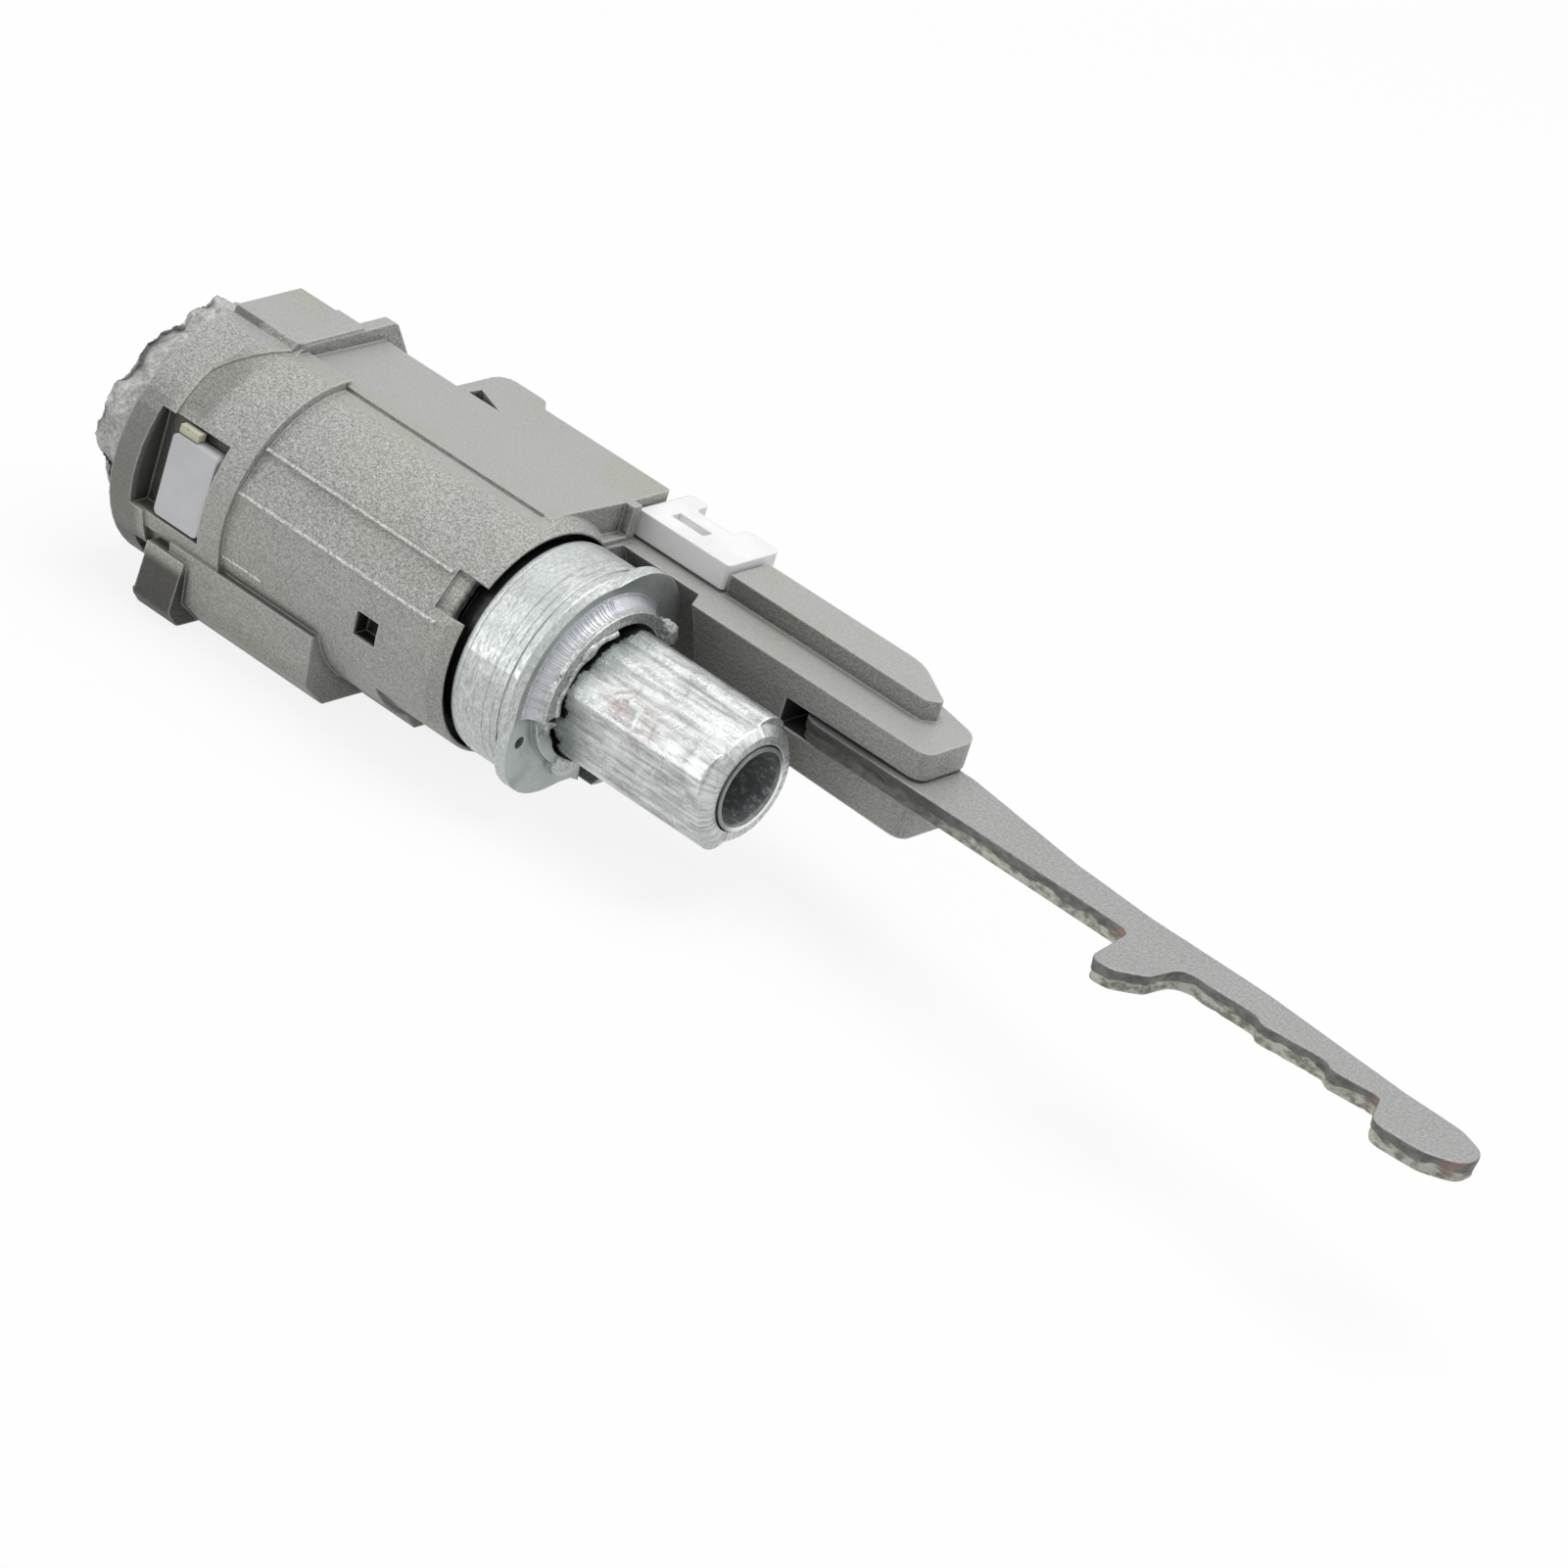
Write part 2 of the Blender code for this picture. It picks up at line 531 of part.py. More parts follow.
def build_housing(parent):
    body_front = FLANGE_FRONT_X + FLANGE_PLATE / 2
    housing = mesh_object("lock_housing", along_x(body_outline(), body_front, BODY_REAR_X), parent)
    flange = join(housing, along_x(flange_outline(), FLANGE_FRONT_X, flange_rear_x()), "flange")
    cut(flange, along_z(flange_step_outline(), BASE_Z - 1 * MM, FLANGE_TOP_Z + 1 * MM), "near_step")
    join(housing, along_x(lip_outline(), flange_rear_x() - LIP_PLATE, flange_rear_x() + GAP / 3), "lip")
    collar_x = FLANGE_FRONT_X + FLANGE_PLATE - 0.5 * MM
    join(housing, turned([(collar_x, PLUG_RADIUS + 1 * MM), (collar_x, COLLAR_RADIUS),
                          (COLLAR_REAR_X, COLLAR_RADIUS), (COLLAR_REAR_X + 0.5 * MM, PLUG_RADIUS + 1 * MM)],
                         sweep=math.radians(118), start=math.radians(88), steps=20), "collar")
    join(housing, along_x(ear_outline(), EAR_REAR_X - EAR_PLATE, EAR_REAR_X), "ear")
    join(housing, along_x(base_rail_outline(), EAR_REAR_X - EAR_PLATE / 2, RAIL_END_X), "base_rail")
    join(housing, along_z(shoulder_outline(), ARM_BOTTOM_Z, PLATFORM_Z), "shoulder")
    join(housing, along_z(arm_outline(), ARM_BOTTOM_Z, ARM_TOP_Z), "arm")
    join(housing, along_z(arm_rail_outline(), ARM_TOP_Z - 1 * MM, ARM_RAIL_Z), "arm_rail")

    bore = PLUG_RADIUS + GAP
    scoop = RING_RADIUS + RING_LOBE + GAP
    rim_floor = BODY_REAR_X - RIM_DEPTH
    cut(housing, turned([(FLANGE_FRONT_X - 1 * MM, 0), (FLANGE_FRONT_X - 1 * MM, bore), (rim_floor, bore),
                         (rim_floor, RIM_RADIUS), (BODY_REAR_X + GAP / 3, RIM_RADIUS), (BODY_REAR_X + GAP, scoop),
                         (RING_CREST_X, scoop), (RING_CREST_X + 3 * MM, SHAFT_RADIUS + 2 * MM),
                         (ARM_END_X + 1 * MM, SHAFT_RADIUS + 1.2 * MM), (ARM_END_X + 1 * MM, 0)]), "bore")
    last = WAFER_FIRST_X + (WAFER_COUNT - 1) * WAFER_PITCH
    groove_half = WAFER_WIDTH / 2 + GAP
    groove_top = bore + WAFER_GROOVE_DEPTH
    cut(housing, box((WAFER_FIRST_X - WAFER_PITCH, last + WAFER_PITCH), (-groove_half, groove_half),
                     (-groove_top, groove_top)), "wafer_grooves")
    cut_rear_bevel(housing)
    near_start = math.radians(216)
    cut(housing, turned([(BASE_NEAR_END_X, UNDERSIDE_RADIUS), (BODY_REAR_X + 1 * MM, UNDERSIDE_RADIUS),
                         (BODY_REAR_X + 1 * MM, 2 * BODY_RADIUS), (BASE_NEAR_END_X, 2 * BODY_RADIUS)],
                        sweep=2 * math.pi - math.acos(BASE_FAR_START / UNDERSIDE_RADIUS) - near_start,
                        start=near_start, steps=12), "underside")
    notch_floor = BODY_SHOULDER - NOTCH_DEPTH
    cut(housing, turned([(BODY_REAR_X - NOTCH_LENGTH, notch_floor + 0.6 * MM), (BODY_REAR_X + 1 * MM, notch_floor),
                         (BODY_REAR_X + 1 * MM, 2 * BODY_RADIUS), (BODY_REAR_X - NOTCH_LENGTH, 2 * BODY_RADIUS)],
                        sweep=math.radians(20), start=math.radians(139), steps=4), "rear_notch")
    window = (slider_window_front(), SLIDER_WINDOW_REAR_X)
    cut(housing, box(window, (-2 * BODY_RADIUS, slider_seat()), SLIDER_WINDOW_Z), "slider_window")
    cut(housing, box((window[0], EAR_REAR_X - EAR_PLATE + SLIP), (-2 * BODY_RADIUS, -3.0 * MM), LOWER_WINDOW_Z), "lower_window")
    cut(housing, box(WINDOW_X, (-2 * BODY_RADIUS, -BODY_RADIUS + WINDOW_DEPTH), WINDOW_Z), "side_window")
    cut(housing, box((COLLAR_REAR_X, GROOVE_END_X), (-GROOVE_WIDTH, 0), (PLATFORM_Z - GROOVE_DEPTH, PLATFORM_Z + 1 * MM)),
        "groove")
    slot_top = SLOT_FLOOR_Z + BAR_THICKNESS + 2 * GAP
    slot = rounded([
        (SLOT_FRONT_X, ARM_SIDE - 2 * MM), (ARM_END_X + 1 * MM, ARM_SIDE - 2 * MM),
        (ARM_END_X + 1 * MM, BAR_WIDE_SIDE + SLOT_SIDE_ROOM), (SLOT_FRONT_X, BAR_WIDE_SIDE + SLOT_SIDE_ROOM, 1.0 * MM),
    ])
    cut(housing, along_z(slot, SLOT_FLOOR_Z, slot_top), "bar_slot")
    cut(housing, cylinder_z(PIVOT_RADIUS + SLIP, ARM_BOTTOM_Z - 1 * MM, ARM_TOP_Z - PIVOT_TOP_WALL, PIVOT_X, PIVOT_Y),
        "pivot_hole")
    notch = [(SHOULDER_X + 1.2 * MM, PLATFORM_SIDE - 4.9 * MM), (SHOULDER_X + 1.4 * MM, PLATFORM_SIDE - 3.2 * MM),
             (SHOULDER_X + 5.0 * MM, PLATFORM_SIDE - 4.8 * MM)]
    cut(housing, along_z(notch, PLATFORM_Z - 1.2 * MM, PLATFORM_Z + 1 * MM), "notch")
    paint(housing, *CAST_ZINC)
    return housing


def build_pivot_pin(parent):
    top = ARM_TOP_Z - PIVOT_TOP_WALL - SLIP
    pin = mesh_object("bar_pivot_pin", cylinder_z(PIVOT_RADIUS, ARM_BOTTOM_Z, top), parent, (PIVOT_X, PIVOT_Y, 0))
    paint(pin, *STEEL)
    return pin


def build_head(parent):
    """The collar at the key end, with a scalloped rim and a sunk face."""
    outline = []
    steps = HEAD_SCALLOPS * 8
    for i in range(steps):
        t = 2 * math.pi * i / steps
        r = HEAD_RADIUS + HEAD_SCALLOP_DEPTH * math.sin(HEAD_SCALLOPS * t) * abs(math.cos(t * 1.5 + 0.4))
        facing = math.cos(t - HEAD_FLAT_ANGLE)
        if facing > 0.5:
            r = min(r, HEAD_FLAT / facing)
        outline.append((r * math.cos(t), r * math.sin(t)))
    head = mesh_object("key_collar", along_x(outline, HEAD_FRONT_X, FLANGE_FRONT_X - GAP), parent)
    bore = PLUG_RADIUS + GAP
    cut(head, turned([(HEAD_FRONT_X - 1 * MM, 0), (HEAD_FRONT_X - 1 * MM, bore),
                      (FLANGE_FRONT_X + 1 * MM, bore), (FLANGE_FRONT_X + 1 * MM, 0)]), "bore")
    sunk = HEAD_FLAT - HEAD_RIM_WIDTH
    cut(head, turned([(HEAD_FRONT_X - 1 * MM, 0), (HEAD_FRONT_X - 1 * MM, sunk + 0.6 * MM),
                      (HEAD_FRONT_X + HEAD_RIM_DEPTH, sunk),
                      (HEAD_FRONT_X + HEAD_RIM_DEPTH, 0)]), "dish")
    paint(head, *BRIGHT_ZINC)
    return head


def build_holder(parent):
    """The white clip on the ledge behind the platform, with a wide tail tab and a shallow slot."""
    front = BODY_REAR_X - PLATFORM_SETBACK + GAP
    back = ARM_RAIL_X - GAP
    outline = rounded([
        (front, HOLDER_NEAR_SIDE), (back, HOLDER_NEAR_SIDE, 0.4 * MM), (back, HOLDER_TAB_SIDE, 0.8 * MM),
        (HOLDER_TAB_X, HOLDER_TAB_SIDE, 0.6 * MM), (HOLDER_TAB_X, HOLDER_FAR_SIDE),
        (HOLDER_STEP_X, HOLDER_FAR_SIDE, 0.6 * MM), (HOLDER_STEP_X, HOLDER_TAB_SIDE, 0.6 * MM),
        (front, HOLDER_TAB_SIDE, 0.6 * MM),
    ])
    holder = mesh_object("rear_holder", along_z(outline, ARM_TOP_Z + GAP, HOLDER_TOP_Z), parent)
    cut(holder, box(HOLDER_SLOT_X, HOLDER_SLOT_SIDE, (HOLDER_TOP_Z - HOLDER_SLOT_DEPTH, HOLDER_TOP_Z + 1 * MM)), "slot")
    paint(holder, *WHITE_PLASTIC)
    return holder


# Key sensor slider

def slider_window_front():
    """The window is as long as the slider, its travel and a gap at each end."""
    return SLIDER_WINDOW_REAR_X - SLIDER_LENGTH - SLIDER_TRAVEL - 2 * GAP


def slider_seat():
    """Where the pocket's floor lies, beside the plug."""
    return -PLUG_RADIUS - SLIDER_WINDOW_WALL


def build_slider(parent):
    """The white block in the flange's side window. It slides towards the key end."""
    x1 = SLIDER_WINDOW_REAR_X - GAP
    x0 = x1 - SLIDER_LENGTH
    top = SLIDER_WINDOW_Z[1] - GAP - SLIDER_CAP_HEIGHT
    z0 = max(SLIDER_WINDOW_Z[0] + GAP, top - SLIDER_HEIGHT)
    seat = slider_seat() - GAP
    middle = ((x0 + x1) / 2, seat, (z0 + top) / 2)
    outline = rounded([
        (x0 - middle[0], z0 - middle[2], 0.5 * MM), (x1 - middle[0], z0 - middle[2], 0.5 * MM),
        (x1 - middle[0], top - middle[2], 0.5 * MM), (x0 - middle[0], top - middle[2], 0.5 * MM),
    ])
    slider = mesh_object("key_slider", along_y(outline, 0, -SLIDER_DEPTH), parent, middle)
    paint(slider, *BLUE_WHITE_PLASTIC)
    cap_end = x0 + SLIDER_CAP_LENGTH
    cap = mesh_object("slider_cap", box((x0 - middle[0] + GAP, cap_end - middle[0]), (-SLIDER_DEPTH + GAP, -GAP),
                                        (top - middle[2] + GAP / 3, top - middle[2] + SLIDER_CAP_HEIGHT)), parent, middle)
    paint(cap, *CREAM_PLASTIC)
    return slider, cap


# Lock bar

def bar_outline():
    """The stamping in plan: a round root, a long taper, a hook, a thin tail and a rounded tip."""
    tail_start = BAR_HOOK_X + BAR_HOOK_LENGTH
    nicks = []
    for x in BAR_NICKS:
        nicks += [(x - BAR_NICK_LENGTH, BAR_TAIL_SIDE + 0.1 * MM), (x, BAR_TAIL_SIDE - BAR_NICK_DEPTH)]
    points = [
        (PIVOT_X - BAR_ROOT_REACH, BAR_SIDE + 0.4 * MM, 1.6 * MM), (BAR_HOOK_X - 1.0 * MM, BAR_SIDE + 0.2 * MM, 0.3 * MM),
        (BAR_HOOK_X - 0.2 * MM, BAR_SIDE - 0.4 * MM, 0.3 * MM), (BAR_HOOK_X + 0.6 * MM, BAR_HOOK_SIDE + 0.9 * MM, 0.4 * MM),
        (BAR_HOOK_X + 1.2 * MM, BAR_HOOK_SIDE, 0.6 * MM), (BAR_HOOK_X + 3.2 * MM, BAR_HOOK_SIDE + 0.3 * MM, 1.0 * MM),
        (tail_start, BAR_HOOK_SIDE + 2.7 * MM, 0.8 * MM), (tail_start + 0.4 * MM, BAR_TAIL_SIDE - 0.2 * MM, 0.9 * MM),
        (tail_start + 4.7 * MM, BAR_TAIL_SIDE - 0.2 * MM), *nicks, (BAR_TAIL_X - 0.3 * MM, BAR_TAIL_SIDE - 0.1 * MM, 0.4 * MM),
        (BAR_TAIL_X + 1.5 * MM, BAR_TIP_SIDE - 0.1 * MM, 1.2 * MM), (BAR_TIP_X - 3.0 * MM, BAR_TIP_SIDE + 0.3 * MM, 2.0 * MM),
        (BAR_TIP_X, BAR_TIP_SIDE + 2.2 * MM, 1.4 * MM), (BAR_TIP_X, BAR_TIP_FAR_SIDE - 1.4 * MM, 1.4 * MM),
        (BAR_TIP_X - 3.4 * MM, BAR_TIP_FAR_SIDE, 2.0 * MM), (BAR_TAIL_X, BAR_TIP_FAR_SIDE + 0.1 * MM, 3.0 * MM),
        (BAR_MID_X + 13.0 * MM, BAR_MID_SIDE, 4.0 * MM), (BAR_MID_X, BAR_MID_SIDE, 4.0 * MM),
        (BAR_NECK_X, BAR_NECK_SIDE, 6.0 * MM), (PIVOT_X + 11.0 * MM, BAR_WIDE_SIDE, 3.0 * MM),
        (PIVOT_X + 1.0 * MM, BAR_WIDE_SIDE, 2.0 * MM), (PIVOT_X - BAR_ROOT_REACH, BAR_WIDE_SIDE - 1.8 * MM, 2.4 * MM),
    ]
    local = [(x - PIVOT_X, y - PIVOT_Y, *radius) for x, y, *radius in points]
    return rounded(local, steps=3)


def build_bar(parent):
    z0 = SLOT_FLOOR_Z + GAP
    bar = mesh_object("lock_bar", along_z(bar_outline(), z0, z0 + BAR_THICKNESS), parent)
    cut(bar, cylinder_z(PIVOT_RADIUS + SLIP, z0 - 1 * MM, z0 + BAR_THICKNESS + 1 * MM), "pivot_hole")
    paint(bar, *STEEL)
    return bar


# Rotor

def shaft_root_x():
    """The shaft's collar starts just behind the floor of the housing's rim."""
    return BODY_REAR_X - RIM_DEPTH + GAP


def plug_rear_x():
    return shaft_root_x() - GAP


def wafer_height():
    """A wafer fills the plug's height, less its travel and a margin under the plug's surface."""
    half = math.sqrt(PLUG_RADIUS ** 2 - (WAFER_WIDTH / 2) ** 2) - WAFER_MARGIN
    return 2 * half - WAFER_TRAVEL


def window_height():
    return wafer_height() - 2 * WAFER_RAIL


def keyway_height():
    return window_height() + KEYWAY_MARGIN


def shutter_pin_place():
    """The shutter's pin stands beside the keyway, just behind the face wall."""
    x = PLUG_FRONT_X + FACE_WALL + SLIP + SHUTTER_KNUCKLE
    return x, KEYWAY_WIDTH / 2 + SHUTTER_PIN_SIDE


def shutter_chamber():
    """The hollow behind the plug's face in which the shutter swings."""
    x, y = shutter_pin_place()
    reach = y + KEYWAY_WIDTH / 2 + SHUTTER_OVERLAP + 2 * SLIP
    depth = reach * math.sin(SHUTTER_SWING)
    half = keyway_height() / 2 + SHUTTER_OVERLAP + 2 * SLIP
    near = y + SHUTTER_KNUCKLE + SLIP
    return (PLUG_FRONT_X + FACE_WALL, x + depth), (y - reach, near), (-half, half)


def build_plug(parent):
    bore_steps = 48
    plug = mesh_object("key_plug", turned([(PLUG_FRONT_X, 0), (PLUG_FRONT_X, PLUG_RADIUS - 0.4 * MM),
                                           (PLUG_FRONT_X + 0.4 * MM, PLUG_RADIUS), (plug_rear_x(), PLUG_RADIUS),
                                           (plug_rear_x(), 0)], steps=bore_steps), parent)
    half = keyway_height() / 2
    cut(plug, box((PLUG_FRONT_X - 1 * MM, KEYWAY_REAR_X), (-KEYWAY_WIDTH / 2, KEYWAY_WIDTH / 2), (-half, half)), "keyway")
    cut(plug, box(*shutter_chamber()), "shutter_chamber")
    x, y = shutter_pin_place()
    pin_half = shutter_chamber()[2][1] + 1.2 * MM
    cut(plug, cylinder_z(SHUTTER_PIN_RADIUS + SLIP, -pin_half - SLIP, pin_half + SLIP, x, y, 12), "shutter_pin_hole")
    side = WAFER_WIDTH / 2 + SLIP
    depth = WAFER_THICKNESS / 2 + SLIP
    slots = []
    for i in range(WAFER_COUNT):
        middle = WAFER_FIRST_X + i * WAFER_PITCH
        span = (middle - depth, middle + depth)
        slots.append(box(span, (-side, side), (-2 * PLUG_RADIUS, 2 * PLUG_RADIUS)))
    cut(plug, merged(slots), "wafer_slots")
    pockets = []
    floor = WAFER_TAB_Z - SPRING_LENGTH - 2 * SLIP
    top = WAFER_TAB_Z + WAFER_TAB_HEIGHT + 2 * SLIP
    for i in range(WAFER_COUNT):
        middle = WAFER_FIRST_X + i * WAFER_PITCH
        span = (middle - depth, middle + depth)
        pockets.append(box(span, (side - 1 * MM, WAFER_WIDTH / 2 + WAFER_TAB + SLIP), (floor, top)))
    cut(plug, merged(pockets), "spring_pockets")
    tang = TANG_THICKNESS / 2 + SLIP
    cut(plug, box((plug_rear_x() - TANG_LENGTH - GAP, plug_rear_x() + 1 * MM), (-20 * MM, 20 * MM), (-tang, tang)), "tang_slot")
    paint(plug, *BRIGHT_ZINC)
    return plug


def build_wafer(number, parent):
    """One wafer with its key window and its spring tab, and the spring under the tab."""
    x = WAFER_FIRST_X + number * WAFER_PITCH
    half = WAFER_WIDTH / 2
    top = wafer_height() / 2 + WAFER_TRAVEL / 2
    bottom = top - wafer_height()
    tab_top = WAFER_TAB_Z + WAFER_TAB_HEIGHT
    outline = [
        (-half, bottom), (half, bottom), (half, WAFER_TAB_Z), (half + WAFER_TAB, WAFER_TAB_Z),
        (half + WAFER_TAB, tab_top), (half, tab_top), (half, top), (-half, top),
    ]
    wafer = mesh_object(f"wafer_{number + 1}", along_x(outline, -WAFER_THICKNESS / 2, WAFER_THICKNESS / 2), parent,
                        (x, 0, 0))
    shift = WAFER_CUTS[number % len(WAFER_CUTS)] * WAFER_STEP - WAFER_STEP * 1.5
    window = (-window_height() / 2 + shift, window_height() / 2 + shift)
    cut(wafer, box((-WAFER_THICKNESS, WAFER_THICKNESS), (-WAFER_WINDOW_WIDTH / 2, WAFER_WINDOW_WIDTH / 2), window), "window")
    paint(wafer, *BRASS)
    floor = WAFER_TAB_Z - SPRING_LENGTH - SLIP
    side = half + SLIP + SPRING_RADIUS + SPRING_WIRE + 0.2 * MM
    spring = mesh_object(f"wafer_spring_{number + 1}", coil(SPRING_RADIUS, SPRING_WIRE, SPRING_TURNS, SPRING_LENGTH),
                         parent, (x, side, floor))
    paint(spring, *SPRING_STEEL)
    return wafer, spring


def build_shutter(parent, pin_parent):
    """The flap behind the key slot, its pin and its coil spring."""
    x, y = shutter_pin_place()
    half = keyway_height() / 2 + SHUTTER_OVERLAP
    free = -KEYWAY_WIDTH / 2 - SHUTTER_OVERLAP - y
    front = -SHUTTER_KNUCKLE
    plate = box((front, front + SHUTTER_THICKNESS), (free, 0), (-half, half))
    flap = mesh_object("dust_shutter", plate, parent)
    for sign, label in ((1, "upper"), (-1, "lower")):
        z0 = sign * half
        z1 = sign * (half - SHUTTER_KNUCKLE_LENGTH)
        join(flap, cylinder_z(SHUTTER_KNUCKLE, min(z0, z1), max(z0, z1), steps=16), f"{label}_knuckle")
    inner = half - SHUTTER_KNUCKLE_LENGTH
    cut(flap, box((-2 * SHUTTER_KNUCKLE, 2 * SHUTTER_KNUCKLE), (-SHUTTER_KNUCKLE - SLIP, 2 * SHUTTER_KNUCKLE),
                  (-inner, inner)), "spring_gap")
    cut(flap, cylinder_z(SHUTTER_PIN_RADIUS + SLIP, -half - 1 * MM, half + 1 * MM, steps=12), "pin_hole")
    paint(flap, *STEEL)
    pin_half = shutter_chamber()[2][1] + 1.2 * MM
    pin = mesh_object("shutter_pin", cylinder_z(SHUTTER_PIN_RADIUS, -pin_half, pin_half, steps=12), pin_parent, (x, y, 0))
    paint(pin, *STEEL)
    length = 2 * (inner - SLIP)
    spring = mesh_object("shutter_spring", coil(SHUTTER_PIN_RADIUS + SLIP + SPRING_WIRE, SPRING_WIRE, 5, length),
                         pin_parent, (x, y, -length / 2))
    paint(spring, *SPRING_STEEL)
    return flap, pin, spring


def rib_outline(angle, extra=0.0):
    """A soft rib on the shaft, in the plane across the axis. The extra makes the slot that clears it."""
    spread = SHAFT_RIB_SPREAD + math.degrees(1.6 * extra / SHAFT_RADIUS)
    points = []
    for i in range(9):
        share = -1 + i / 4
        turn = math.radians(angle + share * spread)
        radius = SHAFT_RADIUS + extra + SHAFT_RIB_HEIGHT * math.cos(share * math.pi / 2) ** 0.7
        points.append((radius * math.cos(turn), radius * math.sin(turn)))
    return points + arc(SHAFT_RADIUS - 0.6 * MM, angle + spread, angle - spread, 4)


def build_shaft(parent):
    """The hollow output shaft: a ribbed tube, a collar inside the ring and a tang for the plug."""
    bore = BORE_RADIUS + LINER_WALL + SLIP
    root = shaft_root_x()
    floor = SHAFT_END_X - BORE_DEPTH
    collar = shaft_collar()
    shaft = mesh_object("output_shaft", turned([(root, 0), (root, collar), (-GAP, collar), (-GAP, SHAFT_RADIUS),
                                                (SHAFT_END_X - SHAFT_CHAMFER, SHAFT_RADIUS),
                                                (SHAFT_END_X, SHAFT_RADIUS - SHAFT_CHAMFER), (SHAFT_END_X, 0)],
                                               steps=48), parent)
    for number, angle in enumerate(SHAFT_RIB_ANGLES):
        span = (-GAP - 0.5 * MM, SHAFT_END_X - SHAFT_CHAMFER - 0.2 * MM)
        join(shaft, along_x(rib_outline(angle), *span), f"rib_{number + 1}")
    cut(shaft, turned([(floor, 0), (floor, bore), (SHAFT_END_X + 1 * MM, bore), (SHAFT_END_X + 1 * MM, 0)], steps=40),
        "bore")
    tang_half = TANG_THICKNESS / 2
    reach = PLUG_RADIUS - TANG_MARGIN
    join(shaft, box((plug_rear_x() - TANG_LENGTH, root + 0.5 * MM), (-reach, reach), (-tang_half, tang_half)), "tang")
    paint(shaft, *BRIGHT_ZINC)
    wall = (BORE_RADIUS, BORE_RADIUS + LINER_WALL)
    ends = (floor + GAP, SHAFT_END_X + LINER_PROUD)
    liner = mesh_object("shaft_liner", turned([(ends[0], wall[0]), (ends[0], wall[1]), (ends[1], wall[1]),
                                               (ends[1], wall[0])], steps=40), parent)
    paint(liner, *STEEL)
    return shaft, liner


def shaft_collar():
    return SHAFT_RADIUS + SHAFT_RIB_HEIGHT + SHAFT_COLLAR_WALL


def lobe_outline(angle, rise, spread):
    """A rounded lobe on the ring's rim in the plane across the axis, rooted inside the rim."""
    root = RING_RADIUS - RING_RIDGE - RING_CHAMFER - GAP / 6
    outer = []
    for i in range(17):
        share = -1 + i / 8
        turn = math.radians(angle + share * spread)
        radius = root + (RING_RADIUS + rise - root) * math.cos(share * math.pi / 2) ** 1.2
        outer.append((radius * math.cos(turn), radius * math.sin(turn)))
    return outer + arc(root - RING_LAND, angle + spread, angle - spread, 12)


def sector(profile, start, end):
    """A turned shape over an arc, in degrees from +Y towards +Z."""
    sweep = end - start
    return turned(profile, steps=max(4, round(sweep / 8)), sweep=math.radians(sweep), start=math.radians(start))


def dome(radius, x, y, z, rings=5, sides=14):
    """A half ball that faces +X."""
    profile = []
    for i in range(rings + 1):
        turn = math.pi / 2 * i / rings
        profile.append((x + radius * math.sin(turn), radius * math.cos(turn)))
    shape = turned([(x - radius / 2, 0), (x - radius / 2, radius)] + profile, steps=sides)
    bmesh.ops.translate(shape, verts=shape.verts, vec=(0, y, z))
    return shape


